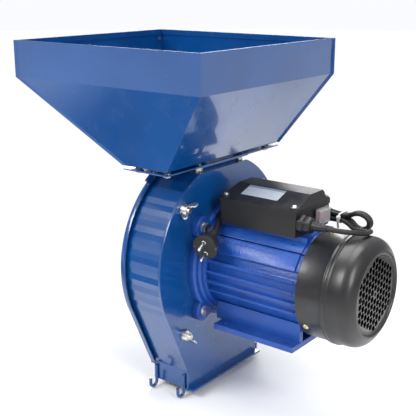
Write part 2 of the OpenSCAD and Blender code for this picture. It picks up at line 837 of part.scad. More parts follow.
module hammer_spacers() {
    color(steel) from_plate() for (row = [0:3]) rotate([45 + 90 * row, 0, 0]) translate([0, pin_circle_r, 0])
        for (k = [0:3]) {
            x0 = hammer_x(row, k) + hammer_t / 2 + 0.15;
            x1 = k < 3 ? hammer_x(row, k + 1) - hammer_t / 2 - 0.15 : rotor_x1 - disc_t;
            if (x1 - x0 > 1) x_ring(x0, x1, spacer_r, pin_r);
            if (k == 0 && row % 2 == 1) x_ring(rotor_x0 + disc_t, hammer_x(row, 0) - hammer_t / 2 - 0.15, spacer_r, pin_r);
        }
}

// One row of hammers hangs straight down from its pin
module hammer_row(row) {
    a = 45 + 90 * row;
    y = pin_circle_r * cos(a);
    z = pin_circle_r * sin(a);
    color([0.35, 0.35, 0.36]) from_plate() for (k = [0:3]) {
        x = hammer_x(row, k) - hammer_t / 2;
        difference() {
            union() {
                block([x, y - hammer_w / 2, z - hammer_reach], [x + hammer_t, y + hammer_w / 2, z]);
                x_cyl(x, x + hammer_t, hammer_back, y, z);
            }
            x_cyl(x - 1, x + hammer_t + 1, pin_r + run_gap, y, z);
        }
    }
}

module hammer_row_1() { hammer_row(0); }
module hammer_row_2() { hammer_row(1); }
module hammer_row_3() { hammer_row(2); }
module hammer_row_4() { hammer_row(3); }

// ---- Motor shell

module front_shield() {
    color(motor_blue) from_plate() difference() {
        union() {
            x_cyl(0, flange_t - 3, flange_r);
            x_cone(flange_t - 3, flange_t, flange_r, flange_r - 3);
            four_flange_bolts() {
                x_cyl(0, flange_t - 1, 16);
                x_cone(flange_t - 1, flange_t, 16, 15);
            }
            x_cone(flange_t, step_end, step_r, step_r - 1.5);
            x_cyl(step_end, frame_start, collar_r);
            x_cyl(frame_start, frame_start + 8, stator_r);
        }
        x_cyl(front_bearing_x - 2, frame_start + 9, bearing_r);
        x_cyl(-1, front_bearing_x, bearing_r + 2.5);
        four_flange_bolts() x_cyl(-1, flange_t + 1, flange_bolt_r + 0.3);
        difference() {
            x_cyl(front_bearing_x + bearing_w + 1, frame_start + 9, stator_r - 5);
            x_cyl(front_bearing_x + bearing_w, frame_start + 8, bearing_r + 5);
        }
    }
}

module flange_bolts() {
    color(zinc) from_plate() four_flange_bolts() {
        x_cyl(-plate_t - 8, flange_t + 1.6, flange_bolt_r);
        difference() {
            x_cyl(flange_t, flange_t + 1.6, 2 * flange_bolt_r + 0.5);
            x_cyl(flange_t - 1, flange_t + 2, flange_bolt_r);
        }
        translate([flange_t + 1.6, 0, 0]) rotate([0, 90, 0]) cylinder(h = 5.3, r = 7.5, $fn = 6);
        difference() {
            translate([-plate_t - 6.5, 0, 0]) rotate([0, 90, 0]) cylinder(h = 6.5, r = 7.5, $fn = 6);
            x_cyl(-plate_t - 8, 0, flange_bolt_r);
        }
    }
}

fin_w = 4;
fin_angles = [14, 1.5, -11, -23.5];
web_y = 43;
land_a0 = 26;
land_a1 = 45;

// One side of the motor's section: fins, the raised land, and the upper shoulder
module side_section() {
    for (a = fin_angles) rotate(a) translate([tube_r - 4, -fin_w / 2]) square([fin_r - 2 - tube_r + 4, fin_w]);
    intersection() {
        circle(r = fin_r);
        polygon([[0, 0], 3 * fin_r * [cos(land_a0), sin(land_a0)], 3 * fin_r * [cos(land_a1), sin(land_a1)]]);
    }
    intersection() {
        circle(r = fin_r - 1);
        polygon([[0, 0], 3 * fin_r * [cos(land_a1 + 2), sin(land_a1 + 2)], [0, 3 * fin_r]]);
    }
}

module motor_section() {
    circle(r = tube_r);
    side_section();
    mirror([1, 0]) side_section();
    translate([-36, 0]) square([72, box_z0]);
    for (s = [-1, 1]) translate([s * web_y - 4, -shaft_h + foot_t]) square([8, shaft_h - foot_t - 52]);
}

module motor_frame() {
    color(motor_blue) from_plate() difference() {
        yz_extrude(frame_start, frame_end) motor_section();
        x_cyl(frame_start - 1, frame_end + 1, stator_r);
        // the lands stop short of the fan cover, and so does the web
        difference() {
            x_cyl(cowl_start - 8, frame_end + 1, fin_r + 20);
            x_cyl(cowl_start - 9, frame_end + 2, fin_r - 3);
        }
        // flat seat of the terminal box, with the opening for its wires
        block([frame_start - 1, -box_y, box_z0], [box_x1 + 1, box_y, fin_r + 1]);
        z_cyl(box_x0 + box_len / 2, 0, tube_r - 10, box_z0 + 1, 14);
        for (x = foot_screw_x, s = [-1, 1])
            z_cyl(x, s * web_y, -shaft_h + foot_t - 1, -shaft_h + foot_t + 14, 2.5);
    }
}

module motor_foot() {
    color(motor_blue) from_plate() difference() {
        block([pad_x0, -pad_w / 2, -shaft_h], [pad_x1, pad_w / 2, -shaft_h + foot_t]);
        for (x = [-1, 1], y = [-1, 1])
            z_cyl(foot_cx + x * foot_hole_x / 2, y * foot_hole_y / 2, -shaft_h - 1, -shaft_h + foot_t + 1, foot_hole_r);
        for (x = foot_screw_x, s = [-1, 1]) {
            z_cyl(x, s * web_y, -shaft_h - 1, -shaft_h + foot_t + 1, 2.5);
            z_cyl(x, s * web_y, -shaft_h - 1, -shaft_h + 4, 5);
        }
    }
}

module rear_shield() {
    color(motor_blue) from_plate() difference() {
        union() {
            x_cyl(frame_end - 8, frame_end, stator_r);
            x_cyl(frame_end, frame_end + rear_shield_t, tube_r + 3);
        }
        x_cyl(frame_end - 9, rear_bearing_x + bearing_w, bearing_r);
        x_cyl(frame_end - 9, frame_end + rear_shield_t + 1, shaft_r + 1);
        difference() {
            x_cyl(frame_end - 9, frame_end + rear_shield_t - 5, stator_r - 5);
            x_cyl(frame_end - 10, frame_end + rear_shield_t, bearing_r + 5);
        }
        for (a = cowl_screw_angles) rotate([a, 0, 0]) z_cyl(cowl_screw_x, 0, tube_r - 6, tube_r + 4, 2.5);
    }
}

// ---- Bearings

bearing_xs = [front_bearing_x, rear_bearing_x];
race_out = bearing_r - 4;
race_in = shaft_r + 4;
ball_gap = 0.3;
ball_r = (race_out - race_in) / 2 - ball_gap;
ball_seat = 0.2;

module bearing_outer_rings() {
    color(steel) from_plate() for (x = bearing_xs) x_ring(x, x + bearing_w, bearing_r, race_out);
}

module bearing_inner_rings() {
    color(steel) from_plate() for (x = bearing_xs) x_ring(x, x + bearing_w, race_in, shaft_r);
}

module bearing_balls() {
    mid = race_in + ball_r - ball_seat;
    color(zinc) from_plate() for (x = bearing_xs, i = [0:7]) rotate([45 * i, 0, 0])
        translate([x + bearing_w / 2, mid, 0]) sphere(r = ball_r, $fn = 24);
}

// ---- Motor inside

slots = 24;

module stator_core() {
    color([0.40, 0.38, 0.36]) from_plate() yz_extrude(stator_x0, stator_x0 + stator_len) difference() {
        circle(r = stator_r);
        circle(r = stator_bore);
        for (i = [0:slots - 1]) rotate(i * 360 / slots) translate([stator_bore + 1, -1.8]) square([13, 3.6]);
    }
}

module stator_windings() {
    color([0.62, 0.30, 0.12]) from_plate() {
        for (x = [stator_x0 - 22, stator_x0 + stator_len]) x_ring(x, x + 22, stator_r - 7, stator_bore + 4);
        yz_extrude(stator_x0, stator_x0 + stator_len)
            for (i = [0:slots - 1]) rotate(i * 360 / slots) translate([stator_bore + 4, -1.8]) square([10, 3.6]);
    }
}

module rotor_core() {
    color([0.45, 0.44, 0.44]) from_plate() {
        x_ring(stator_x0, stator_x0 + stator_len, rotor_r, shaft_r + 3);
        for (x = [stator_x0 - 8, stator_x0 + stator_len]) x_ring(x, x + 8, rotor_r - 2, shaft_r + 9);
    }
}

module cooling_fan() {
    color([0.16, 0.16, 0.17]) from_plate() {
        difference() {
            union() {
                x_cyl(fan_x0, fan_x0 + 18, 15);
                x_cyl(fan_x0, fan_x0 + 2.5, fan_r - 6);
                for (i = [0:7]) rotate([45 * i, 0, 0])
                    block([fan_x0, 12, -1.2], [fan_x0 + 26, fan_r, 1.2]);
            }
            x_cyl(fan_x0 - 1, fan_x0 + 27, shaft_r - 2);
        }
    }
}

// ---- Fan cover

bead_x = cowl_start + 38;
bead_w = 6;
bead_h = 1.5;
nose_len = 17;
cowl_screw_angles = [4, 124, 244];
cowl_screw_x = frame_end + 6;

module fan_cover() {
    face = cowl_end;
    color([0.07, 0.07, 0.08]) from_plate() difference() {
        union() {
            x_cyl(cowl_start, face - nose_len, cowl_r);
            x_cyl(bead_x, bead_x + bead_w, cowl_r + bead_h);
            x_cone(face - nose_len, face - 2, cowl_r, cowl_ring_r + 2);
            x_cone(face - 2, face, cowl_ring_r + 2, cowl_ring_r);
        }
        x_cyl(cowl_start - 1, face - nose_len, cowl_r - cowl_t);
        x_cyl(bead_x + 1.5, bead_x + bead_w - 1.5, cowl_r + bead_h - cowl_t);
        x_cone(face - nose_len, face - 3, cowl_r - cowl_t, cowl_ring_r + 1 - cowl_t);
        // the grille lies in a shallow dish
        x_cyl(face - 2, face + 1, grille_r + 3);
        for (i = [-7:7], j = [-7:7]) {
            y = grille_pitch * j * sin(60);
            z = grille_pitch * (i + 0.5 * (abs(j) % 2));
            if (norm([y, z]) < grille_r - 2)
                translate([face - 6, y, z]) rotate([0, 90, 0]) rotate(30)
                    cylinder(h = 8, r = grille_pitch * (norm([y, z]) < 1 ? 0.27 : 0.44), $fn = 6);
        }
        for (a = cowl_screw_angles) rotate([a, 0, 0]) z_cyl(cowl_screw_x, 0, cowl_r - 4, cowl_r + 4, 2.5);
    }
}

// Screws of the fan cover, whose sleeves stand on the rear shield, and of the foot
module motor_screws() {
    color([0.80, 0.74, 0.52]) from_plate() {
        for (a = cowl_screw_angles) rotate([a, 0, 0]) {
            z_cyl(cowl_screw_x, 0, tube_r - 6, cowl_r, 2.5);
            difference() {
                z_cyl(cowl_screw_x, 0, tube_r + 3, cowl_r - cowl_t - 0.2, 5);
                z_cyl(cowl_screw_x, 0, tube_r + 2, cowl_r, 2.5);
            }
            translate([cowl_screw_x, 0, cowl_r]) cylinder(h = 2.2, r1 = 4.6, r2 = 3);
        }
        for (x = foot_screw_x, s = [-1, 1]) {
            z_cyl(x, s * web_y, -shaft_h + 1, -shaft_h + 4, 4.2);
            z_cyl(x, s * web_y, -shaft_h + 4, -shaft_h + foot_t + 12, 2.5);
        }
    }
}

// ---- Terminal box

module terminal_box() {
    color(black_plastic) from_plate() difference() {
        block([box_x0, -box_y, box_z0], [box_x1, box_y, seam_z]);
        difference() {
            block([box_x0 + box_wall, -box_y + box_wall, box_z0 + box_wall],
                  [box_x1 - box_wall, box_y - box_wall, seam_z + 1]);
            for (p = lid_screw_pts) z_cyl(p[0], p[1], box_z0, seam_z, 5);
        }
        z_cyl(box_x0 + box_len / 2, 0, box_z0 - 1, box_z0 + box_wall + 1, 12);
        for (p = lid_screw_pts) z_cyl(p[0], p[1], seam_z - 14, seam_z + 1, 2);
        x_cyl(box_x1 - box_wall - 1, box_x1 + 1, 8, gland_y, gland_z);
        block([box_x1 - box_wall - 1, switch_y - 13, switch_z - 9], [box_x1 + 1, switch_y + 13, switch_z + 9]);
    }
}

lid_over = 1;
lid_screw_in = 5.5;
lid_screw_pts = [for (x = [box_x0 + lid_screw_in, box_x1 - lid_screw_in],
                      y = [-box_y + lid_screw_in, box_y - lid_screw_in]) [x, y]];
boss_top = lip_z + 4;

module lid_solid(inset, low) {
    intersection() {
        xz_extrude(-box_y - lid_over + inset, box_y + lid_over - inset) polygon([
            [box_x0 - lid_over + inset, low], [box_x0 - lid_over + inset, lip_z - inset],
            [box_x0 + roof_in + inset, roof_z - inset], [box_x1 - roof_in - inset, roof_z - inset],
            [box_x1 + lid_over - inset, lip_z - inset], [box_x1 + lid_over - inset, low]]);
        yz_extrude(box_x0 - 2, box_x1 + 2) polygon([
            [-box_y - lid_over + inset, low], [-box_y - lid_over + inset, lip_z - inset],
            [roof_y0 + inset / 2, roof_z - inset], [roof_y1 - inset / 2, roof_z - inset],
            [box_y + lid_over - inset, lip_z - inset], [box_y + lid_over - inset, low]]);
    }
}

module box_lid() {
    color(black_plastic) from_plate() difference() {
        union() {
            difference() {
                lid_solid(0, seam_z);
                lid_solid(box_wall, seam_z - 1);
            }
            for (p = lid_screw_pts) z_cyl(p[0], p[1], seam_z, boss_top, 6);
        }
        for (p = lid_screw_pts) {
            z_cyl(p[0], p[1], seam_z - 1, boss_top + 1, 2);
            z_cyl(p[0], p[1], boss_top, roof_z + 5, 6.5);
        }
    }
}

module lid_screws() {
    color(zinc) from_plate() for (p = lid_screw_pts) {
        z_cyl(p[0], p[1], seam_z - 12, boss_top, 2);
        translate([p[0], p[1], boss_top]) cylinder(h = 2.6, r1 = 4.2, r2 = 2.6);
    }
}

label_len = 62;
label_h = 26;

// A blank plate on the lid's front slope
module rating_label() {
    slope = atan2(lid_rise, roof_y0 + box_y + lid_over);
    color([0.75, 0.80, 0.82]) from_plate()
        translate([box_x0 + 25, roof_y0, roof_z]) rotate([slope, 0, 0])
            translate([0, -label_h - 3, 0]) cube([label_len, label_h, 0.4]);
}

module capacitor() {
    color([0.20, 0.20, 0.22]) from_plate() {
        x_cyl(box_x0 + 34, box_x0 + 100, 14, 24, box_z0 + box_wall + 14.2);
        for (s = [-1, 1]) block([box_x0 + 100, 24 + s * 5 - 2, box_z0 + box_wall + 12],
                                [box_x0 + 107, 24 + s * 5 + 2, box_z0 + box_wall + 13]);
    }
}

// Hex gland with its lock nut inside the wall and a tapered sleeve round the cord
module cable_gland() {
    color(black_plastic) from_plate() translate([0, gland_y, gland_z]) difference() {
        union() {
            translate([box_x1, 0, 0]) rotate([0, 90, 0]) cylinder(h = 9, r = 13, $fn = 6);
            translate([box_x1 + 9, 0, 0]) rotate([0, 90, 0]) cylinder(h = 9, r = 12, $fn = 6);
            x_cone(box_x1 + 18, box_x1 + 21, 11, 7);
            x_cone(box_x1 + 21, gland_tip, 6.5, cord_r + 0.6);
            x_cyl(box_x1 - box_wall, box_x1, 8);
        }
        x_cyl(box_x1 - box_wall - 6, gland_tip + 1, cord_r - 0.5);
    }
}

// ---- Switch

rocker_len = 20;
rocker_w = 14;
rocker_r = 16;
rocker_tilt = 9;
pivot_x = box_x1 - 6;

module switch_body() {
    color(black_plastic) from_plate() difference() {
        union() {
            block([box_x1 - 18, switch_y - 13, switch_z - 9], [box_x1, switch_y + 13, switch_z + 9]);
            block([box_x1, switch_y - 17, switch_z - 13], [box_x1 + 2, switch_y + 17, switch_z + 13]);
        }
        block([box_x1 - 16, switch_y - rocker_len / 2 - 1.8, switch_z - rocker_w / 2 - 0.4],
              [box_x1 + 3, switch_y + rocker_len / 2 + 1.8, switch_z + rocker_w / 2 + 0.4]);
        z_cyl(pivot_x, switch_y, switch_z - 8.4, switch_z + 8.4, 1.5 + run_gap);
    }
}

// The rocker tilts about an upright pin, and is drawn in its off position
module switch_rocker() {
    color([0.80, 0.05, 0.03]) from_plate() translate([pivot_x, switch_y, switch_z]) rotate([0, 0, -rocker_tilt])
        difference() {
            union() {
                block([-4, -rocker_len / 2, -rocker_w / 2], [8, rocker_len / 2, rocker_w / 2]);
                z_cyl(0, 0, -8.2, 8.2, 1.5);
            }
            z_cyl(8 + 22, 0, -rocker_w, rocker_w, 23.6);
        }
}

module switch_boot() {
    x0 = box_x1 + 2;
    x1 = box_x1 + 9;
    color([0.85, 0.87, 0.88, 0.35]) from_plate() difference() {
        union() {
            block([x0, switch_y - 16, switch_z - 12], [x0 + 1.5, switch_y + 16, switch_z + 12]);
            block([x0, switch_y - 14, switch_z - 10], [x1, switch_y + 14, switch_z + 10]);
        }
        block([x0 - 1, switch_y - 12.8, switch_z - 8.8], [x1 - 1.2, switch_y + 12.8, switch_z + 8.8]);
    }
}

// ---- Cord

// Rings of a tube along a route, each square to the way through its point.
// The route never runs along the direction given by side.
function unit(v) = v / norm(v);
function ring_dir(pts, i) = unit(pts[min(i + 1, len(pts) - 1)] - pts[max(i - 1, 0)]);
function ring(pts, i, r, n, side) =
    let (t = ring_dir(pts, i), s = unit(cross(t, side)), u = cross(s, t))
    [for (k = [0:n - 1]) pts[i] + r * (s * cos(360 * k / n) + u * sin(360 * k / n))];

module tube(pts, r, n, side = [0, 0, 1]) {
    m = len(pts);
    points = [for (i = [0:m - 1]) each ring(pts, i, r, n, side)];
    sides = [for (i = [0:m - 2], k = [0:n - 1])
        [i * n + k, i * n + (k + 1) % n, (i + 1) * n + (k + 1) % n, (i + 1) * n + k]];
    caps = [[for (k = [0:n - 1]) n - 1 - k], [for (k = [0:n - 1]) (m - 1) * n + k]];
    polyhedron(points = points, faces = concat(sides, caps), convexity = 6);
}

module power_cord() {
    color(black_plastic) from_plate() tube(cord_route, cord_r, 10);
}

module plug_lead() {
    color(black_plastic) from_plate() tube(lead_route, cord_r, 10);
}

tie_t = 1;
tie_w = 4;

// The hank is two loops, drawn in at the tie between them
module cord_hank() {
    r0 = hank_fold_r + cord_r;
    r1 = hank_loop_r + cord_r;
    color(black_plastic) from_plate() xz_extrude(hank_y0, hank_y0 + hank_strands * cord_d) {
        translate([hank_x0, hank_z]) circle(r = r0);
        translate([hank_x1, loop_z]) circle(r = r1);
        polygon([[hank_x0 - 2, hank_z - r0 + 1], [hank_x0 + 4, hank_z - r0 + 1],
                 [tie_x, loop_z - cord_d], [tie_x + tie_w, loop_z - cord_d],
                 [hank_x1 - 4, loop_z - r1 + 1], [hank_x1 + 2, loop_z - r1 + 1],
                 [hank_x1 + 2, loop_z + r1 - 1], [hank_x1 - 4, loop_z + r1 - 1],
                 [tie_x + tie_w, loop_z + cord_d], [tie_x, loop_z + cord_d],
                 [hank_x0 + 4, hank_z + r0 - 1], [hank_x0 - 2, hank_z + r0 - 1]]);
    }
}

module cord_tie() {
    y1 = hank_y0 + hank_strands * cord_d;
    color([0.92, 0.92, 0.90]) from_plate() difference() {
        block([tie_x, hank_y0 - tie_t, loop_z - cord_d - tie_t - 0.5],
              [tie_x + tie_w, y1 + tie_t, loop_z + cord_d + tie_t + 0.5]);
        block([tie_x - 1, hank_y0, loop_z - cord_d - 0.5], [tie_x + tie_w + 1, y1, loop_z + cord_d + 0.5]);
    }
}

// ---- Plug

plug_from = lead_route[len(lead_route) - 1];
pin_off = 9.5;

module plug_body() {
    color(black_plastic) from_plate() aim(plug_from, plug_axis) difference() {
        union() {
            cylinder(h = plug_tail, r1 = cord_r + 1, r2 = cord_r + 3);
            translate([0, 0, plug_tail]) cylinder(h = plug_cone, r1 = 10, r2 = plug_r - 2);
            translate([0, 0, plug_tail + plug_cone]) cylinder(h = plug_face_t, r = plug_r);
        }
        for (s = [-1, 1]) translate([s * (plug_r - 1.2) - 1.5, -2.5, plug_tail + plug_cone - 4])
            cube([3, 5, plug_face_t + 5]);
    }
}

module plug_pins() {
    z0 = plug_tail + plug_cone + plug_face_t;
    color(zinc) from_plate() aim(plug_from, plug_axis) for (s = [-1, 1])
        translate([0, s * pin_off, z0]) {
            cylinder(h = pin_len - 2, r = 2.4);
            translate([0, 0, pin_len - 2]) cylinder(h = 2, r1 = 2.4, r2 = 1.4);
        }
}

motor_side_plate();
drum_band();
sack_hooks();
feed_chute();
hopper_base();
slide_gate();
hopper_floor();
hopper_front_wall();
hopper_back_wall();
hopper_motor_wall();
hopper_outer_wall();
hopper_rivets();
hopper_bolts();
cover_plate();
cover_gasket();
tie_bolts();
wing_nut_1();
wing_nut_2();
wing_nut_3();
wing_nut_4();
sieve();
shaft_seal();
motor_shaft();
rotor_fixings();
rotor_frame();
hammer_pins();
hammer_spacers();
hammer_row_1();
hammer_row_2();
hammer_row_3();
hammer_row_4();
front_shield();
flange_bolts();
motor_frame();
motor_foot();
rear_shield();
bearing_outer_rings();
bearing_inner_rings();
bearing_balls();
stator_core();
stator_windings();
rotor_core();
cooling_fan();
fan_cover();
motor_screws();
terminal_box();
box_lid();
lid_screws();
rating_label();
capacitor();
cable_gland();
switch_body();
switch_rocker();
switch_boot();
power_cord();
cord_hank();
cord_tie();
plug_lead();
plug_body();
plug_pins();
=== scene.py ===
import json
import math

import bpy
from mathutils import Matrix, Vector


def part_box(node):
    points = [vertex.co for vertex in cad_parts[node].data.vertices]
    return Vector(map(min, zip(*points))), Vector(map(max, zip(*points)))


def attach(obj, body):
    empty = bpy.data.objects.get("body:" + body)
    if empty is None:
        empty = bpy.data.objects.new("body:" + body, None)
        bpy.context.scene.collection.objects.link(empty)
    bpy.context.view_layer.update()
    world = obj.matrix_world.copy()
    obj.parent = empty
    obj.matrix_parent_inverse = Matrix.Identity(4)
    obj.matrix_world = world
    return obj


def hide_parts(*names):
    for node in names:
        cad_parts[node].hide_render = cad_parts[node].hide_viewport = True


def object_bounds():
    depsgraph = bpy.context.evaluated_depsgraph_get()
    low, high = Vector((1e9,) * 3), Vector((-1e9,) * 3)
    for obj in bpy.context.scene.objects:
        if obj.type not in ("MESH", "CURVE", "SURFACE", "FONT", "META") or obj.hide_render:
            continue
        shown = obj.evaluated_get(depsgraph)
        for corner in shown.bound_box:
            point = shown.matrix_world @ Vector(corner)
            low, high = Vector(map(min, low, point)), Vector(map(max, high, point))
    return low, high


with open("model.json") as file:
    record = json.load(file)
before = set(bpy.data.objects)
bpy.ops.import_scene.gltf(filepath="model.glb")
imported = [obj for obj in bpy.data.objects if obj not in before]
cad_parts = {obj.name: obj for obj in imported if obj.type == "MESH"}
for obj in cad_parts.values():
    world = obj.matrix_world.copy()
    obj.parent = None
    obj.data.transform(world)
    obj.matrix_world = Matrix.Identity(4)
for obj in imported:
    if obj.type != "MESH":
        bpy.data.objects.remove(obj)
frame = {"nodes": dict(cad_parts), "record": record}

cadLow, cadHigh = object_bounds()
nodes = frame["nodes"]

# Places are in millimetres: x from the side plate's outer face, y and z from the shaft's axis.
shaftHeight = 88
footCentre = 100


def onMill(x, y, z):
    return Vector(((x - footCentre) / 1000, y / 1000, (z + shaftHeight) / 1000))


def mm(value):
    return value / 1000


# camera, lights, floor

camera = {"place": (0.6093, -0.9503, 0.5035), "azimuth": 37.94, "elevation": 15.92, "lens": 70.37}


def makeCamera(c):
    data = bpy.data.cameras.new("viewCamera")
    data.lens = c["lens"]
    data.sensor_width = 36
    data.clip_start = 0.05
    data.clip_end = 50
    cam = bpy.data.objects.new("viewCamera", data)
    bpy.context.collection.objects.link(cam)
    a, e = math.radians(c["azimuth"]), math.radians(c["elevation"])
    back = Vector((math.sin(a) * math.cos(e), -math.cos(a) * math.cos(e), math.sin(e)))
    cam.location = c["place"]
    cam.rotation_mode = "QUATERNION"
    cam.rotation_quaternion = (-back).to_track_quat("-Z", "Y")
    bpy.context.scene.camera = cam


makeCamera(camera)

lamps = {
    "keySoftbox": {"at": (-0.9, -1.8, 1.6), "size": (1.2, 0.8), "power": 40},
    "sideSoftbox": {"at": (2.1, -0.9, 1.3), "size": (0.8, 1.3), "power": 30},
    "topSoftbox": {"at": (0.0, 0.2, 2.2), "size": (1.5, 1.5), "power": 38},
    "backSoftbox": {"at": (-1.4, 1.7, 1.2), "size": (1.0, 1.0), "power": 22},
}
studio = {
    "seen": 1.0, "fill": 0.55, "mirrored": 0.30, "mirroredHigh": 0.75, "highFrom": 0.5,
    "aim": (-0.03, 0, 0.15),
}


def makeWorld(w):  # white to look at, but darker where glossy paint mirrors it
    world = bpy.data.worlds.new("studio")
    bpy.context.scene.world = world
    world.use_nodes = True
    tree = world.node_tree
    back = tree.nodes["Background"]
    back.inputs[0].default_value = (0.96, 0.97, 1.0, 1)
    path = tree.nodes.new("ShaderNodeLightPath")
    split = tree.nodes.new("ShaderNodeSeparateXYZ")
    tree.links.new(tree.nodes.new("ShaderNodeTexCoord").outputs["Generated"], split.inputs[0])
    climb = tree.nodes.new("ShaderNodeMapRange")
    tree.links.new(split.outputs["Z"], climb.inputs["Value"])
    climb.inputs["From Max"].default_value = w["highFrom"]
    climb.inputs["To Min"].default_value = w["mirrored"]
    climb.inputs["To Max"].default_value = w["mirroredHigh"]
    strength = w["fill"]
    for ray, value in (("Is Glossy Ray", climb.outputs["Result"]), ("Is Camera Ray", w["seen"])):
        mix = tree.nodes.new("ShaderNodeMix")
        mix.data_type = "FLOAT"
        tree.links.new(path.outputs[ray], mix.inputs["Factor"])
        for socket, v in ((mix.inputs[2], strength), (mix.inputs[3], value)):
            if isinstance(v, float):
                socket.default_value = v
            else:
                tree.links.new(v, socket)
        strength = mix.outputs[0]
    tree.links.new(strength, back.inputs[1])


def makeLamps():
    middle = Vector(studio["aim"])
    for name, softbox in lamps.items():
        data = bpy.data.lights.new(name, "AREA")
        data.shape = "RECTANGLE"
        data.size, data.size_y = softbox["size"]
        data.energy = softbox["power"]
        lamp = bpy.data.objects.new(name, data)
        bpy.context.collection.objects.link(lamp)
        lamp.location = softbox["at"]
        lamp.rotation_mode = "QUATERNION"
        lamp.rotation_quaternion = (middle - Vector(softbox["at"])).to_track_quat("-Z", "Y")
    bpy.context.scene.view_settings.view_transform = "Standard"


makeWorld(studio)
makeLamps()
print("camera and lights made")

# modelling helpers


def clearSelection():
    if bpy.context.object and bpy.context.object.mode != "OBJECT":
        bpy.ops.object.mode_set(mode="OBJECT")
    bpy.ops.object.select_all(action="DESELECT")


def pick(*objects):
    clearSelection()
    for o in objects:
        o.select_set(True)
    bpy.context.view_layer.objects.active = objects[0]


def bakePlace(obj, place=None):  # the place ends up in the mesh
    if place is not None:
        obj.matrix_world = place @ obj.matrix_world
    pick(obj)
    bpy.ops.object.transform_apply(location=True, rotation=True, scale=True)


def useModifier(obj, kind, **settings):
    mod = obj.modifiers.new(kind.lower(), kind)
    for key, value in settings.items():
        setattr(mod, key, value)
    pick(obj)
    bpy.ops.object.modifier_apply(modifier=mod.name)


def smooth(obj, degrees=35):
    pick(obj)
    bpy.ops.object.shade_smooth_by_angle(angle=math.radians(degrees))


def joined(name, *parts):
    pick(*parts)
    if len(parts) > 1:
        bpy.ops.object.join()
    obj = bpy.context.object
    obj.name = name
    return obj


def copyOf(obj, name):
    new = obj.copy()
    new.data = obj.data.copy()
    new.name = name
    bpy.context.collection.objects.link(new)
    return new


def alongAxis(start, direction):  # a matrix that stands local +Z on start, along direction
    return Matrix.Translation(start) @ Vector(direction).to_track_quat("Z", "Y").to_matrix().to_4x4()


def turned(name, rings, segments=64, closed=True):  # rings: (height, radius) in metres up local Z
    clearSelection()
    z0, r0 = rings[0]
    bpy.ops.mesh.primitive_circle_add(vertices=segments, radius=r0, location=(0, 0, 0))
    obj = bpy.context.object
    obj.name = name
    bpy.ops.object.mode_set(mode="EDIT")
    bpy.ops.mesh.select_all(action="SELECT")
    bpy.ops.transform.translate(value=(0, 0, z0))
    last = (z0, r0)
    for z, r in rings[1:]:
        bpy.ops.mesh.extrude_region_move(TRANSFORM_OT_translate={"value": (0, 0, z - last[0])})
        s = r / last[1]
        bpy.ops.transform.resize(value=(s, s, 1), center_override=(0, 0, z))
        last = (z, r)
    bpy.ops.mesh.select_all(action="SELECT")
    bpy.ops.mesh.remove_doubles(threshold=0.00002)
    if closed:
        bpy.ops.mesh.select_all(action="DESELECT")
        bpy.ops.mesh.select_mode(type="EDGE")
        bpy.ops.mesh.select_non_manifold()
        bpy.ops.mesh.edge_face_add()
        bpy.ops.mesh.select_mode(type="VERT")
    bpy.ops.mesh.select_all(action="SELECT")
    bpy.ops.mesh.normals_make_consistent(inside=False)
    bpy.ops.object.mode_set(mode="OBJECT")
    return obj


def inMetres(rings):
    return [(mm(height), mm(radius)) for height, radius in rings]


def cutAway(obj, cutter):
    useModifier(obj, "BOOLEAN", object=cutter, operation="DIFFERENCE", solver="EXACT")
    bpy.data.objects.remove(cutter)


def hexPrism(name, z0, z1, radius, bevel):
    clearSelection()
    middle = (0, 0, (z0 + z1) / 2)
    bpy.ops.mesh.primitive_cylinder_add(vertices=6, radius=radius, depth=z1 - z0, location=middle)
    obj = bpy.context.object
    obj.name = name
    bakePlace(obj)
    useModifier(obj, "BEVEL", width=bevel, segments=2, limit_method="ANGLE")
    return obj


def wire(name, points, radius, resolution):
    curve = bpy.data.curves.new(name, "CURVE")
    curve.dimensions = "3D"
    curve.bevel_depth = radius
    curve.bevel_resolution = resolution
    curve.resolution_u = 1
    curve.use_fill_caps = True
    spline = curve.splines.new("POLY")
    spline.points.add(len(points) - 1)
    for p, co in zip(spline.points, points):
        p.co = (*co, 1)
    obj = bpy.data.objects.new(name, curve)
    bpy.context.collection.objects.link(obj)
    return obj


def rounded(points, steps):  # a smooth line through the points
    out = []
    n = len(points)
    for i in range(n - 1):
        p0, p1 = points[max(i - 1, 0)], points[i]
        p2, p3 = points[i + 1], points[min(i + 2, n - 1)]
        for k in range(steps):
            t = k / steps
            out.append(0.5 * ((2 * p1) + (p2 - p0) * t + (2 * p0 - 5 * p1 + 4 * p2 - p3) * t * t
                              + (3 * p1 - 3 * p2 + p3 - p0) * t ** 3))
    out.append(points[-1])
    return out


def lengthOf(points):
    return sum((b - a).length for a, b in zip(points, points[1:]))


# node groups shared by the finishes


def newGroup(name, output, kind="NodeSocketFloat", **inputs):  # one vector in, named values in, one thing out
    group = bpy.data.node_groups.new(name, "ShaderNodeTree")
    group.interface.new_socket(name="Vector", in_out="INPUT", socket_type="NodeSocketVector")
    for label, value in inputs.items():
        s = group.interface.new_socket(name=label, in_out="INPUT", socket_type="NodeSocketFloat")
        s.default_value = value
    group.interface.new_socket(name=output, in_out="OUTPUT", socket_type=kind)
    start = group.nodes.new("NodeGroupInput")
    end = group.nodes.new("NodeGroupOutput")
    return group, start, end


def noiseNode(tree, vector, scale, detail=3.0, rough=0.55):
    n = tree.nodes.new("ShaderNodeTexNoise")
    n.inputs["Detail"].default_value = detail
    n.inputs["Roughness"].default_value = rough
    if isinstance(scale, (int, float)):
        n.inputs["Scale"].default_value = scale
    else:
        tree.links.new(scale, n.inputs["Scale"])
    tree.links.new(vector, n.inputs["Vector"])
    return n.outputs["Fac"]


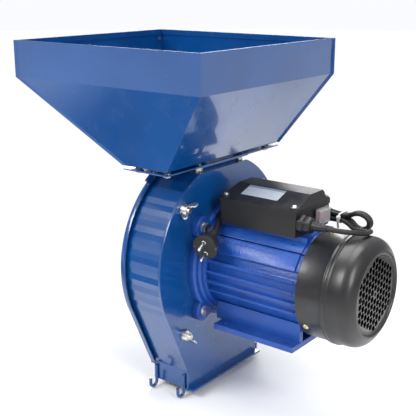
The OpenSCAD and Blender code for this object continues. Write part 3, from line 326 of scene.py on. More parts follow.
def rangeNode(tree, value, low, high, toLow=0.0, toHigh=1.0):
    n = tree.nodes.new("ShaderNodeMapRange")
    tree.links.new(value, n.inputs["Value"])
    for key, v in (("From Min", low), ("From Max", high), ("To Min", toLow), ("To Max", toHigh)):
        if isinstance(v, (int, float)):
            n.inputs[key].default_value = v
        else:
            tree.links.new(v, n.inputs[key])
    return n.outputs["Result"]


def mathNode(tree, what, a, b=0.0):
    n = tree.nodes.new("ShaderNodeMath")
    n.operation = what
    for i, v in enumerate((a, b)):
        if isinstance(v, (int, float)):
            n.inputs[i].default_value = v
        else:
            tree.links.new(v, n.inputs[i])
    return n.outputs[0]


def makeBlotchGroup():  # slow cloudy variation, as paint and plastic have
    g, start, end = newGroup("cloudyTint", "Mask", Scale=12.0, Low=0.35, High=0.65)
    fac = noiseNode(g, start.outputs["Vector"], start.outputs["Scale"])
    g.links.new(rangeNode(g, fac, start.outputs["Low"], start.outputs["High"]), end.inputs["Mask"])
    return g


def makeSkinGroup():  # fine bumps, such as orange peel in paint or grain in plastic
    g, start, end = newGroup("skinBump", "Normal", "NodeSocketVector",
                             Scale=300.0, Strength=0.1, Depth=0.0002)
    fac = noiseNode(g, start.outputs["Vector"], start.outputs["Scale"], 2.0)
    bump = g.nodes.new("ShaderNodeBump")
    g.links.new(start.outputs["Strength"], bump.inputs["Strength"])
    g.links.new(start.outputs["Depth"], bump.inputs["Distance"])
    g.links.new(fac, bump.inputs["Height"])
    g.links.new(bump.outputs["Normal"], end.inputs["Normal"])
    return g


def makeEdgeGroup():  # 1 along sharp edges, broken up by noise
    g, start, end = newGroup("wornEdge", "Mask", Width=0.0006, Amount=0.5)
    bevel = g.nodes.new("ShaderNodeBevel")
    bevel.samples = 4
    g.links.new(start.outputs["Width"], bevel.inputs["Radius"])
    geo = g.nodes.new("ShaderNodeNewGeometry")
    dot = g.nodes.new("ShaderNodeVectorMath")
    dot.operation = "DOT_PRODUCT"
    g.links.new(bevel.outputs["Normal"], dot.inputs[0])
    g.links.new(geo.outputs["Normal"], dot.inputs[1])
    edge = rangeNode(g, dot.outputs["Value"], 0.93, 0.7)
    chips = rangeNode(g, noiseNode(g, start.outputs["Vector"], 90.0, 4.0, 0.7), 0.42, 0.6)
    both = mathNode(g, "MULTIPLY", edge, chips)
    g.links.new(mathNode(g, "MULTIPLY", both, start.outputs["Amount"]), end.inputs["Mask"])
    return g


def makeDustGroup():  # a little grain dust on what faces up
    g, start, end = newGroup("settledDust", "Mask", Amount=0.2)
    geo = g.nodes.new("ShaderNodeNewGeometry")
    split = g.nodes.new("ShaderNodeSeparateXYZ")
    g.links.new(geo.outputs["Normal"], split.inputs[0])
    up = rangeNode(g, split.outputs["Z"], 0.3, 1.0)
    patch = rangeNode(g, noiseNode(g, start.outputs["Vector"], 40.0, 5.0, 0.65), 0.4, 0.75)
    both = mathNode(g, "MULTIPLY", up, patch)
    g.links.new(mathNode(g, "MULTIPLY", both, start.outputs["Amount"]), end.inputs["Mask"])
    return g


cloudyTint = makeBlotchGroup()
skinBump = makeSkinGroup()
wornEdge = makeEdgeGroup()
settledDust = makeDustGroup()


# finishes


def newFinish(name, **values):
    mat = bpy.data.materials.new(name)
    mat.use_nodes = True
    tree = mat.node_tree
    shader = tree.nodes["Principled BSDF"]
    for key, value in values.items():
        shader.inputs[key].default_value = value
    where = tree.nodes.new("ShaderNodeTexCoord").outputs["Object"]
    return mat, tree, shader, where


def useGroup(tree, group, vector, **values):
    n = tree.nodes.new("ShaderNodeGroup")
    n.node_tree = group
    tree.links.new(vector, n.inputs["Vector"])
    for key, value in values.items():
        n.inputs[key].default_value = value
    return n.outputs[0]


def mixColour(tree, fac, a, b):
    n = tree.nodes.new("ShaderNodeMix")
    n.data_type = "RGBA"
    tree.links.new(fac, n.inputs["Factor"])
    for socket, v in ((n.inputs[6], a), (n.inputs[7], b)):
        if isinstance(v, tuple):
            socket.default_value = (*v, 1) if len(v) == 3 else v
        else:
            tree.links.new(v, socket)
    return n.outputs[2]


def mixValue(tree, fac, a, b):
    n = tree.nodes.new("ShaderNodeMix")
    n.data_type = "FLOAT"
    tree.links.new(fac, n.inputs["Factor"])
    for socket, v in ((n.inputs[2], a), (n.inputs[3], b)):
        if isinstance(v, (int, float)):
            socket.default_value = v
        else:
            tree.links.new(v, socket)
    return n.outputs[0]


grainDust = (0.42, 0.37, 0.28)
dustRough = 0.8
plasticDust = (0.40, 0.36, 0.29)


def paintFinish(name, p):
    mat, tree, shader, where = newFinish(name)
    shader.inputs["Coat Weight"].default_value = p["coat"]
    shader.inputs["Coat Roughness"].default_value = p["coatRough"]
    tint = useGroup(tree, cloudyTint, where, Scale=p["tintScale"], Low=0.3, High=0.7)
    colour = mixColour(tree, tint, p["dark"], p["light"])
    worn = useGroup(tree, wornEdge, where, Width=p["edgeWidth"], Amount=p["edge"])
    colour = mixColour(tree, worn, colour, p["edgeColour"])
    dust = useGroup(tree, settledDust, where, Amount=p["dust"])
    colour = mixColour(tree, dust, colour, grainDust)
    tree.links.new(colour, shader.inputs["Base Color"])
    smear = useGroup(tree, cloudyTint, where, Scale=p["tintScale"] * 5, Low=0.35, High=0.75)
    rough = mixValue(tree, smear, p["rough"], p["rough"] + p["roughMore"])
    rough = mixValue(tree, dust, rough, dustRough)
    tree.links.new(rough, shader.inputs["Roughness"])
    if p.get("cast"):
        castBump(tree, shader, where, p)
    else:
        peel = useGroup(tree, skinBump, where, Scale=p["skinScale"], Strength=p["skin"], Depth=p["skinDepth"])
        tree.links.new(peel, shader.inputs["Normal"])
    return mat


def castBump(tree, shader, where, p):  # pebbled skin of a painted casting
    cell = tree.nodes.new("ShaderNodeTexVoronoi")
    cell.feature = "SMOOTH_F1"
    cell.inputs["Scale"].default_value = p["skinScale"]
    cell.inputs["Smoothness"].default_value = 0.7
    tree.links.new(where, cell.inputs["Vector"])
    fine = noiseNode(tree, where, p["skinScale"] * 0.6, 4.0)
    height = mathNode(tree, "ADD", cell.outputs["Distance"], mathNode(tree, "MULTIPLY", fine, 0.8))
    bump = tree.nodes.new("ShaderNodeBump")
    bump.inputs["Strength"].default_value = p["skin"]
    bump.inputs["Distance"].default_value = p["skinDepth"]
    tree.links.new(height, bump.inputs["Height"])
    tree.links.new(bump.outputs["Normal"], shader.inputs["Normal"])


def metalFinish(name, p):
    mat, tree, shader, where = newFinish(name, Metallic=1.0)
    stretch = tree.nodes.new("ShaderNodeMapping")
    stretch.inputs["Scale"].default_value = p["grain"]
    tree.links.new(where, stretch.inputs["Vector"])
    lines = noiseNode(tree, stretch.outputs["Vector"], 60.0, 4.0, 0.6)
    patch = useGroup(tree, cloudyTint, where, Scale=p["patchScale"], Low=0.35, High=0.7)
    colour = mixColour(tree, patch, p["dark"], p["light"])
    worn = useGroup(tree, wornEdge, where, Width=0.0004, Amount=p["edge"])
    colour = mixColour(tree, worn, colour, p["edgeColour"])
    tree.links.new(colour, shader.inputs["Base Color"])
    rough = rangeNode(tree, lines, 0.3, 0.7, p["rough"] - 0.06, p["rough"] + 0.1)
    tree.links.new(rough, shader.inputs["Roughness"])
    bump = tree.nodes.new("ShaderNodeBump")
    bump.inputs["Strength"].default_value = p["scratch"]
    bump.inputs["Distance"].default_value = 0.0001
    tree.links.new(lines, bump.inputs["Height"])
    tree.links.new(bump.outputs["Normal"], shader.inputs["Normal"])
    return mat


def plasticFinish(name, p):
    mat, tree, shader, where = newFinish(name)
    shader.inputs["Specular IOR Level"].default_value = p["shine"]
    tint = useGroup(tree, cloudyTint, where, Scale=p["tintScale"], Low=0.3, High=0.7)
    colour = mixColour(tree, tint, p["dark"], p["light"])
    dust = useGroup(tree, settledDust, where, Amount=p["dust"])
    colour = mixColour(tree, dust, colour, plasticDust)
    tree.links.new(colour, shader.inputs["Base Color"])
    tree.links.new(mixValue(tree, tint, p["rough"], p["rough"] + 0.1), shader.inputs["Roughness"])
    tree.links.new(useGroup(tree, skinBump, where, Scale=p["skinScale"], Strength=p["skin"], Depth=0.00015),
                   shader.inputs["Normal"])
    return mat


finishes = {
    "mill_enamel": paintFinish("millEnamel", {
        "dark": (0.001, 0.046, 0.185), "light": (0.002, 0.064, 0.245), "coat": 0.8, "coatRough": 0.04,
        "rough": 0.2, "roughMore": 0.1, "tintScale": 7.0, "edge": 0.3, "edgeWidth": 0.0005,
        "edgeColour": (0.02, 0.14, 0.42), "dust": 0.0,
        "skinScale": 260.0, "skin": 0.10, "skinDepth": 0.00012}),
    "motor_paint": paintFinish("castPaint", {
        "dark": (0.001, 0.040, 0.235), "light": (0.002, 0.066, 0.345), "coat": 0.15, "coatRough": 0.2,
        "rough": 0.38, "roughMore": 0.14, "tintScale": 16.0, "edge": 0.4, "edgeWidth": 0.0010,
        "edgeColour": (0.02, 0.16, 0.60), "dust": 0.04,
        "skinScale": 330.0, "skin": 0.55, "skinDepth": 0.0006, "cast": True}),
    "black_steel": paintFinish("blackStovePaint", {
        "dark": (0.006, 0.006, 0.007), "light": (0.011, 0.011, 0.012), "coat": 0.25, "coatRough": 0.2,
        "rough": 0.33, "roughMore": 0.12, "tintScale": 9.0, "edge": 0.35, "edgeWidth": 0.0007,
        "edgeColour": (0.10, 0.10, 0.10), "dust": 0.05,
        "skinScale": 420.0, "skin": 0.15, "skinDepth": 0.00015}),
    "zinc": metalFinish("zincPlate", {
        "dark": (0.50, 0.51, 0.50), "light": (0.74, 0.73, 0.70), "grain": (1.0, 1.0, 1.0),
        "patchScale": 60.0, "rough": 0.27, "edge": 0.6, "edgeColour": (0.85, 0.85, 0.84), "scratch": 0.15}),
    "yellow_zinc": metalFinish("yellowZincPlate", {
        "dark": (0.58, 0.46, 0.20), "light": (0.74, 0.66, 0.42), "grain": (1.0, 1.0, 1.0),
        "patchScale": 80.0, "rough": 0.3, "edge": 0.5, "edgeColour": (0.80, 0.78, 0.70), "scratch": 0.15}),
    "steel": metalFinish("machinedSteel", {
        "dark": (0.36, 0.36, 0.37), "light": (0.52, 0.52, 0.53), "grain": (1.0, 12.0, 12.0),
        "patchScale": 20.0, "rough": 0.33, "edge": 0.4, "edgeColour": (0.7, 0.7, 0.7), "scratch": 0.3}),
    "hard_steel": metalFinish("hardenedSteel", {
        "dark": (0.10, 0.095, 0.09), "light": (0.20, 0.20, 0.205), "grain": (1.0, 1.0, 8.0),
        "patchScale": 45.0, "rough": 0.42, "edge": 0.9, "edgeColour": (0.55, 0.55, 0.56), "scratch": 0.4}),
    "laminations": metalFinish("stackedSheet", {
        "dark": (0.16, 0.155, 0.15), "light": (0.28, 0.275, 0.27), "grain": (40.0, 0.4, 0.4),
        "patchScale": 15.0, "rough": 0.48, "edge": 0.2, "edgeColour": (0.4, 0.4, 0.4), "scratch": 0.9}),
    "copper": metalFinish("varnishedCopper", {
        "dark": (0.34, 0.11, 0.035), "light": (0.62, 0.24, 0.09), "grain": (0.5, 14.0, 14.0),
        "patchScale": 35.0, "rough": 0.3, "edge": 0.1, "edgeColour": (0.7, 0.3, 0.12), "scratch": 0.9}),
    "black_plastic": plasticFinish("boxPlastic", {
        "dark": (0.008, 0.008, 0.009), "light": (0.014, 0.014, 0.015), "shine": 0.5, "tintScale": 20.0,
        "rough": 0.38, "dust": 0.06, "skinScale": 900.0, "skin": 0.35}),
    "rubber": plasticFinish("cordRubber", {
        "dark": (0.010, 0.010, 0.010), "light": (0.020, 0.020, 0.020), "shine": 0.4, "tintScale": 30.0,
        "rough": 0.5, "dust": 0.05, "skinScale": 700.0, "skin": 0.25}),
    "red_plastic": plasticFinish("rockerPlastic", {
        "dark": (0.50, 0.010, 0.008), "light": (0.66, 0.018, 0.012), "shine": 0.6, "tintScale": 30.0,
        "rough": 0.2, "dust": 0.0, "skinScale": 300.0, "skin": 0.05}),
    "white_plastic": plasticFinish("nylon", {
        "dark": (0.66, 0.66, 0.62), "light": (0.78, 0.78, 0.74), "shine": 0.5, "tintScale": 40.0,
        "rough": 0.35, "dust": 0.0, "skinScale": 400.0, "skin": 0.08}),
    "dark_plastic": plasticFinish("fanPlastic", {
        "dark": (0.02, 0.02, 0.022), "light": (0.035, 0.035, 0.037), "shine": 0.5, "tintScale": 20.0,
        "rough": 0.45, "dust": 0.1, "skinScale": 600.0, "skin": 0.3}),
    "grille_paint": paintFinish("grillePaint", {
        "dark": (0.030, 0.030, 0.032), "light": (0.050, 0.050, 0.052), "coat": 0.4, "coatRough": 0.15,
        "rough": 0.3, "roughMore": 0.1, "tintScale": 20.0, "edge": 0.6, "edgeWidth": 0.0005,
        "edgeColour": (0.30, 0.30, 0.30), "dust": 0.1,
        "skinScale": 500.0, "skin": 0.12, "skinDepth": 0.0001}),
}


def clearFinish():
    mat, tree, shader, where = newFinish("bootPlastic", Roughness=0.3, IOR=1.42)
    shader.inputs["Transmission Weight"].default_value = 0.82
    tint = useGroup(tree, cloudyTint, where, Scale=60.0, Low=0.3, High=0.7)
    colour = mixColour(tree, tint, (0.86, 0.89, 0.90), (0.96, 0.97, 0.98))
    tree.links.new(colour, shader.inputs["Base Color"])
    frost = useGroup(tree, skinBump, where, Scale=160.0, Strength=0.2, Depth=0.0003)
    tree.links.new(frost, shader.inputs["Normal"])
    return mat


labelBand = {"width": 0.0050, "blur": 0.0002}


def foilFinish():  # a blank plate: brushed foil with one darker printed band
    mat, tree, shader, where = newFinish("labelFoil", Metallic=0.35)
    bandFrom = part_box("rating_label")[1][1] - labelBand["width"]
    split = tree.nodes.new("ShaderNodeSeparateXYZ")
    tree.links.new(where, split.inputs[0])
    lines = tree.nodes.new("ShaderNodeMapping")
    lines.inputs["Scale"].default_value = (2, 60, 60)
    tree.links.new(where, lines.inputs["Vector"])
    grain = noiseNode(tree, lines.outputs["Vector"], 40.0, 3.0)
    band = rangeNode(tree, split.outputs["Y"], bandFrom, bandFrom + labelBand["blur"])
    colour = mixColour(tree, grain, (0.56, 0.63, 0.67), (0.70, 0.76, 0.79))
    tree.links.new(mixColour(tree, band, colour, (0.30, 0.36, 0.42)), shader.inputs["Base Color"])
    tree.links.new(rangeNode(tree, grain, 0.3, 0.7, 0.25, 0.4), shader.inputs["Roughness"])
    return mat


finishes["clear_plastic"] = clearFinish()
finishes["label_foil"] = foilFinish()


def paintNodes():
    slots = {s["node"]: s["material_slot"] for s in frame["record"]["subparts"]}
    for name, obj in nodes.items():
        look = finishes["dark_plastic"] if name == "cooling_fan" else finishes[slots[name]]
        obj.data.materials.clear()
        obj.data.materials.append(look)


paintNodes()


def finish(obj, look, body="housing"):
    obj.data.materials.clear()
    obj.data.materials.append(finishes[look])
    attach(obj, body)


print("finishes made")

# mains cord: one length from the gland, through the bundle, to the plug

cord = {
    "diameter": 7.0,
    "turns": 2,
    "farLoop": {"x": 70, "side": -1, "radius": 21.0, "reach": 21.0, "height": 87, "across": (50.0, 70.5)},
    "nearLoop": {"x": 198, "side": 1, "radius": 12.0, "reach": 17.0, "height": 80, "across": (50.0, 60.0)},
    "waist": {"x": 169, "height": 80, "across": 60, "column": 7.1, "row": 6.2, "half": 5},
    "loopSteps": 8,
    "shortSteps": 3,
    "longSteps": 7,
    "climb": 0.3,
}
cordRoute = [
    (196, -33, 90), (203, -32.5, 90), (211, -29.5, 89), (219, -24.5, 88),
    (226, -17, 86.5), (231.5, -8, 84.5), (235, 1.5, 82.5), (235.5, 11.5, 81.5),
    (233, 22, 79.5), (228, 31.5, 76.5), (220.5, 39.5, 73), (213, 45.5, 70),
    (205, 49, 68.4)]
leadRoute = [
    (70, 70.5, 66), (58, 70, 66), (47, 67.5, 67), (37, 62, 68.5),
    (28.5, 54.5, 70.5), (22, 45.5, 73.5), (18, 36, 76.5), (16.2, 26, 79.5),
    (16, 15, 82), (16, 4, 83.5), (16, -7, 83.5), (16.3, -17, 82),
    (17.3, -27, 79), (19, -35, 75.8), (21.2, -41.5, 72.2), (23.6, -47.3, 68.6),
    (26.1, -52.4, 65.3), (28.6, -57, 62.3)]


def loopPoints(loop, share0, share1, upward):  # round a loop's outer end, bottom to top or back
    points = []
    for k in range(cord["loopSteps"] + 1):
        t = k / cord["loopSteps"]
        angle = math.pi * (t if upward else 1 - t)
        share = share0 + (share1 - share0) * t
        y = loop["across"][0] + (loop["across"][1] - loop["across"][0]) * share
        x = loop["x"] + loop["side"] * loop["reach"] * math.sin(angle)
        points.append(Vector((x, y, loop["height"] - loop["radius"] * math.cos(angle))))
    return points


def waistPoints(c, column, upper):  # two rows of strands lie side by side inside the tie
    w = c["waist"]
    y = w["across"] + (column + (0.5 if upper else 0) - c["turns"] / 2) * w["column"]
    z = w["height"] + (0.5 if upper else -0.5) * w["row"]
    ends = [Vector((w["x"] + s * w["half"], y, z)) for s in (-1, 0, 1)]
    return ends if upper else ends[::-1]


def eased(a, b, steps):  # points between a and b that leave and arrive level
    out = []
    for k in range(1, steps):
        t = k / steps
        e = t * t * (3 - 2 * t)
        out.append(Vector((a.x + (b.x - a.x) * t, a.y + (b.y - a.y) * e, a.z + (b.z - a.z) * e)))
    return out


def bundlePoints(c, last):
    near, far, turns = c["nearLoop"], c["farLoop"], c["turns"]
    short, long = c["shortSteps"], c["longSteps"]
    points = [loopPoints(near, 0, 0, True)[0]]

    def run(more, steps):
        points.extend(eased(points[-1], more[0], steps) + more)

    for turn in range(turns):
        start, middle, end = turn / turns, (turn + c["climb"]) / turns, (turn + 1) / turns
        run(waistPoints(c, turn, False), short)
        run(loopPoints(far, start, middle, True), long)
        run(waistPoints(c, turn, True), long)
        run(loopPoints(near, middle, end, False), short)
    run(waistPoints(c, turns, False), short)
    points.extend(eased(points[-1], Vector(last), long))
    return points


def makeCord():
    route = [Vector(p) for p in cordRoute]
    route += bundlePoints(cord, leadRoute[0])
    route += [Vector(p) for p in leadRoute]
    line = rounded([onMill(*p) for p in route], 3)
    obj = wire("mainsCord", line, mm(cord["diameter"] / 2), 5)
    finish(obj, "rubber")
    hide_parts("power_cord", "cord_hank", "plug_lead")
    return obj, lengthOf(line), line[0]


mainsCord, cordLength, cordExit = makeCord()
print("cord length", round(cordLength, 3))

cordTie = {
    "halfY": 11.4, "halfZ": 7.3, "thick": 0.9, "wide": 3.6, "corner": 3.4,
    "head": {"size": (5.0, 4.2, 4.6), "out": 1.2, "up": 2.0, "lean": 0},
    "tail": {"size": (3.4, 1.0, 17), "out": 2.6, "up": -5.5, "lean": 14},
}


def makeCordTie(t):
    clearSelection()
    bpy.ops.mesh.primitive_cube_add(size=1)
    outer = bpy.context.object
    outer.scale = (mm(t["wide"]), mm(2 * t["halfY"]), mm(2 * t["halfZ"]))
    bakePlace(outer)
    inner = copyOf(outer, "tieInner")
    inner.scale = (3, 1 - t["thick"] / t["halfY"], 1 - t["thick"] / t["halfZ"])
    bakePlace(inner)
    for obj, less in ((outer, 0), (inner, t["thick"])):
        pick(obj)
        bpy.ops.object.mode_set(mode="EDIT")
        bpy.ops.mesh.select_all(action="DESELECT")
        bpy.ops.object.mode_set(mode="OBJECT")
        for e in obj.data.edges:
            a, b = (obj.data.vertices[i].co for i in e.vertices)
            e.select = abs(a.x - b.x) > 0.001
        bpy.ops.object.mode_set(mode="EDIT")
        bpy.ops.mesh.bevel(offset=mm(t["corner"] - less), segments=6, affect="EDGES")
        bpy.ops.object.mode_set(mode="OBJECT")
    cutAway(outer, inner)
    parts = [outer]
    for end in (t["head"], t["tail"]):
        bpy.ops.mesh.primitive_cube_add(size=1)
        piece = bpy.context.object
        piece.scale = [mm(v) for v in end["size"]]
        bakePlace(piece)
        useModifier(piece, "BEVEL", width=0.0003, segments=2)
        at = Matrix.Translation((0, mm(-t["halfY"] - end["out"]), mm(end["up"])))
        bakePlace(piece, at @ Matrix.Rotation(math.radians(end["lean"]), 4, "X"))
        parts.append(piece)
    obj = joined("cordTie", *parts)
    waist = cord["waist"]
    bakePlace(obj, Matrix.Translation(onMill(waist["x"], waist["across"], waist["height"])))
    smooth(obj, 35)
    finish(obj, "white_plastic")
    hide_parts("cord_tie")
    return obj


tieBand = makeCordTie(cordTie)

# plug, with side grooves for its earth strips

plug = {
    "from": leadRoute[-1],
    "axis": (0.222, -0.913, -0.343),
    "rings": [(-0.5, 3.7), (0, 4.5), (3, 4.6), (3.6, 5.2), (6, 5.3), (6.6, 4.8), (8, 4.9), (8.6, 5.6),
              (11, 5.7), (11.6, 5.1), (13, 5.2), (13.6, 6.0), (16, 6.1), (16.6, 5.6), (18, 6.0), (20, 8.0),
              (22, 10.3), (25, 12.4), (29, 13.8), (33, 15.0), (36, 16.8), (37.6, 18.3), (38.4, 18.9),
              (39.6, 19.0), (43.0, 19.0), (43.8, 18.6), (44.0, 18.0), (44.0, 16.8), (43.4, 16.4),
              (43.4, 0.3)],
    "notch": {"off": 19.2, "up": 41, "size": (4.6, 5.4, 12), "edge": 0.5},
    "strip": {"off": 16.75, "up": 40.0, "size": (0.8, 3.6, 7.4), "edge": 0.2},
    "pin": [(0, 3.3), (0.6, 3.3), (0.8, 2.4), (16.6, 2.4), (18.2, 1.9), (19, 0.9), (19, 0.2)],
    "pinOffset": 9.5,
    "face": 43.4,
}


def sidePair(c):  # a small block on each side of the plug
    blocks = []
    for side in (-1, 1):
        clearSelection()
        bpy.ops.mesh.primitive_cube_add(size=1, location=(side * mm(c["off"]), 0, mm(c["up"])))
        block = bpy.context.object
        block.scale = [mm(v) for v in c["size"]]
        bakePlace(block)
        useModifier(block, "BEVEL", width=mm(c["edge"]), segments=2)
        blocks.append(block)
    return blocks


def makePlug():
    place = alongAxis(onMill(*plug["from"]), plug["axis"])
    body = turned("plugBody", inMetres(plug["rings"]), 72)
    cutAway(body, joined("plugCutter", *sidePair(plug["notch"])))
    strips = sidePair(plug["strip"])
    bakePlace(body, place)
    smooth(body, 40)
    finish(body, "rubber")
    strip = joined("plugEarthStrips", *strips)
    bakePlace(strip, place)
    finish(strip, "zinc")
    pin = turned("plugPins", inMetres(plug["pin"]), 28)
    other = copyOf(pin, "plugPinOther")
    for p, side in ((pin, -1), (other, 1)):
        bakePlace(p, Matrix.Translation((0, side * mm(plug["pinOffset"]), mm(plug["face"]))))
    pins = joined("plugPins", pin, other)
    bakePlace(pins, place)
    smooth(pins, 40)
    finish(pins, "zinc")
    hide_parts("plug_body")
    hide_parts("plug_pins")
    return body, pins, strip


plugBody, plugPins, plugStrips = makePlug()
print("cord and plug made")

# floor

floorGap = 0.0005
fade = {"seen": (0.30, 0.75), "mirrored": (0.45, 0.75), "darkest": 0.06}
# painted reflection: discs (x, y, near, far) where the floor's glow for glossy rays is dimmed
darkReflectionDiscs = [(0.50, 0.78, 0.22, 0.50), (-0.66, -0.72, 0.24, 0.52)]


def makeFloor():
    clearSelection()
    bpy.ops.mesh.primitive_circle_add(vertices=96, radius=9, fill_type="NGON",
                                      location=(0, 0, cadLow[2] - floorGap))
    floor = bpy.context.object
    floor.name = "paleFloor"
    bakePlace(floor)
    mat, tree, shader, where = newFinish("palePaper", Roughness=0.9)
    tint = useGroup(tree, cloudyTint, where, Scale=2.0, Low=0.2, High=0.8)
    colour = mixColour(tree, tint, (0.88, 0.88, 0.88), (0.91, 0.91, 0.91))
    tree.links.new(colour, shader.inputs["Base Color"])
    rays = tree.nodes.new("ShaderNodeLightPath").outputs

    def reach(x, y, near, away):  # 0 to 1 with the distance from a place on the floor
        shift = tree.nodes.new("ShaderNodeMapping")
        shift.inputs["Location"].default_value = (-x, -y, -cadLow[2])
        tree.links.new(where, shift.inputs["Vector"])
        length = tree.nodes.new("ShaderNodeVectorMath")
        length.operation = "LENGTH"
        tree.links.new(shift.outputs["Vector"], length.inputs[0])
        return rangeNode(tree, length.outputs["Value"], near, away)

    def mixShader(fac, a, b):
        mix = tree.nodes.new("ShaderNodeMixShader")
        tree.links.new(fac, mix.inputs[0])
        tree.links.new(a, mix.inputs[1])
        tree.links.new(b, mix.inputs[2])
        return mix.outputs[0]

    # painted reflection: away from the mill, glossy rays see the floor glowing, dimmed inside the painted
    # dark discs
    white = tree.nodes.new("ShaderNodeEmission")
    glossyReflectionGlow = tree.nodes.new("ShaderNodeEmission")
    away = reach(0, 0, *fade["mirrored"])
    light = None
    for x, y, near, end in darkReflectionDiscs:  # painted reflection: dark discs on the floor's glow, seen only by glossy rays, so the mill's glossy paint mirrors dark patches beside it
        one = reach(x, y, near, end)
        light = one if light is None else mathNode(tree, "MULTIPLY", light, one)
    tree.links.new(rangeNode(tree, light, 0, 1, fade["darkest"], 1.0), glossyReflectionGlow.inputs["Strength"])
    far = mathNode(tree, "MULTIPLY", reach(0, 0, *fade["seen"]), rays["Is Camera Ray"])
    seen = mixShader(far, shader.outputs[0], white.outputs[0])
    mirrored = mixShader(mathNode(tree, "MULTIPLY", away, rays["Is Glossy Ray"]), seen, glossyReflectionGlow.outputs[0])
    tree.links.new(mirrored, tree.nodes["Material Output"].inputs["Surface"])
    floor.data.materials.append(mat)


makeFloor()

# softened edges on the sheet-metal and cast CAD nodes

softEdges = {
    "motor_side_plate": 0.5, "drum_band": 0.4, "cover_plate": 0.5, "hopper_front_wall": 0.5,
    "hopper_back_wall": 0.5, "hopper_motor_wall": 0.5, "hopper_outer_wall": 0.5, "hopper_base": 0.25,
    "hopper_floor": 0.3, "feed_chute": 0.5,
    "front_shield": 0.9, "motor_frame": 0.9, "motor_foot": 1.2, "rear_shield": 0.8, "terminal_box": 0.8,
    "box_lid": 1.2, "slide_gate": 0.4, "flange_bolts": 0.4, "switch_body": 0.4, "switch_rocker": 0.5,
    "switch_boot": 0.8, "lid_screws": 0.3, "hopper_bolts": 0.4, "tie_bolts": 0.4, "motor_screws": 0.3,
    "rotor_frame": 0.4, "hammer_row_1": 0.4, "hammer_row_2": 0.4, "hammer_row_3": 0.4, "hammer_row_4": 0.4,
    "capacitor": 0.8, "cooling_fan": 0.4, "rating_label": 0.1}


edgeRules = {"weld": 0.00001, "flatBelow": 0.4, "sharpAbove": 38, "segments": 2}


def softenNodes():
    for name, width in softEdges.items():
        obj = nodes[name]
        weld = obj.modifiers.new("weld", "WELD")
        weld.merge_threshold = edgeRules["weld"]
        flat = obj.modifiers.new("flat", "DECIMATE")
        flat.decimate_type = "DISSOLVE"
        flat.angle_limit = math.radians(edgeRules["flatBelow"])
        bevel = obj.modifiers.new("bevel", "BEVEL")
        bevel.width = mm(width)
        bevel.segments = edgeRules["segments"]
        bevel.limit_method = "ANGLE"
        bevel.angle_limit = math.radians(edgeRules["sharpAbove"])
        bevel.harden_normals = True
        bevel.use_clamp_overlap = True


softenNodes()
print("edges softened")

# fan cover: turned shell with a raised bead, and a perforated grille

fanCover = {
    "start": 176,
    "rings": [(0, 75.8), (0, 77.0), (0.6, 77.5), (36.6, 77.5), (37.2, 77.9), (38.0, 79.2), (38.8, 79.6),
              (39.8, 79.4), (40.8, 78.9), (43.2, 78.9), (44.2, 79.4), (45.2, 79.6), (46.0, 79.2),
              (46.8, 77.9), (47.4, 77.5), (62.5, 77.5), (66, 77.2), (69.5, 76.2),
              (73, 74.4), (76, 71.9), (78.5, 68.9), (80.4, 65.8), (81.8, 63.2), (82.6, 61.6), (83.0, 60.2),
              (83.0, 58.6), (82.4, 57.4), (81.0, 56.6), (80.6, 55.2), (80.6, 53.4), (80.0, 52.8),
              (78.9, 52.8),
              (78.9, 56.0), (78.0, 60.5), (76, 64.6), (74, 68.0), (71.5, 70.9), (68.5, 73.3), (65.5, 74.9),
              (62, 75.8), (1, 75.8)],
    "screws": {"at": 187, "angles": (4, 124, 244), "radius": 77, "hole": 2.5, "depth": 10},
    "grilleRadius": 54.5,
    "grilleAt": 79.2,
    "grilleThick": 0.8,
    "holeRadius": 5.0,
    "cutFrom": -3,
    "cutTo": 4,
    "holeEdge": 0.2,
    "rows": 7,
    "pitch": 10,
    "reach": 50.5,
    "middleHole": 0.6,
    "turn": Matrix.Rotation(math.radians(90), 4, "Z"),
    "holeTurn": Matrix.Rotation(math.radians(30), 4, "Z"),
}


def makeFanCover(c):
    place = alongAxis(onMill(c["start"], 0, 0), (1, 0, 0))
    shell = turned("fanCoverShell", inMetres(c["rings"]), 128)
    screws = c["screws"]
    cutters = []
    for angle in screws["angles"]:
        a = math.radians(angle)
        clearSelection()
        bpy.ops.mesh.primitive_cylinder_add(vertices=20, radius=mm(screws["hole"]), depth=mm(screws["depth"]))
        hole = bpy.context.object
        at = onMill(screws["at"], -math.sin(a) * screws["radius"], math.cos(a) * screws["radius"])
        bakePlace(hole, Matrix.Translation(at) @ Matrix.Rotation(a, 4, "X"))
        cutters.append(hole)
    cutter = joined("screwHoles", *cutters)
    bakePlace(shell, place)
    cutAway(shell, cutter)
    smooth(shell, 38)
    finish(shell, "black_steel")
    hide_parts("fan_cover")

    rim, thick = c["grilleRadius"], c["grilleThick"]
    disc = turned("fanGrille", inMetres([(0, 0.2), (0, rim), (thick, rim), (thick, 0.2)]), 96)
    first = hexPrism("hole", mm(c["cutFrom"]), mm(c["cutTo"]), mm(c["holeRadius"]), mm(c["holeEdge"]))
    holes = []
    for j in range(-c["rows"], c["rows"] + 1):
        for i in range(-c["rows"], c["rows"] + 1):
            x = c["pitch"] * (i + 0.5 * (abs(j) % 2))
            y = c["pitch"] * j * math.sin(math.radians(60))
            if math.hypot(x, y) < c["reach"]:
                piece = copyOf(first, "hole%d" % len(holes))
                if math.hypot(x, y) < 1:
                    piece.data.transform(Matrix.Diagonal((c["middleHole"], c["middleHole"], 1, 1)))
                piece.data.transform(c["turn"] @ Matrix.Translation((mm(x), mm(y), 0)) @ c["holeTurn"])
                holes.append(piece)
    bpy.data.objects.remove(first)
    cutter = joined("grilleHoles", *holes)
    cutAway(disc, cutter)
    bakePlace(disc, alongAxis(onMill(c["start"] + c["grilleAt"], 0, 0), (1, 0, 0)))
    smooth(disc, 30)
    finish(disc, "grille_paint")


makeFanCover(fanCover)
print("fan cover made")

# cable gland with a ribbed strain relief

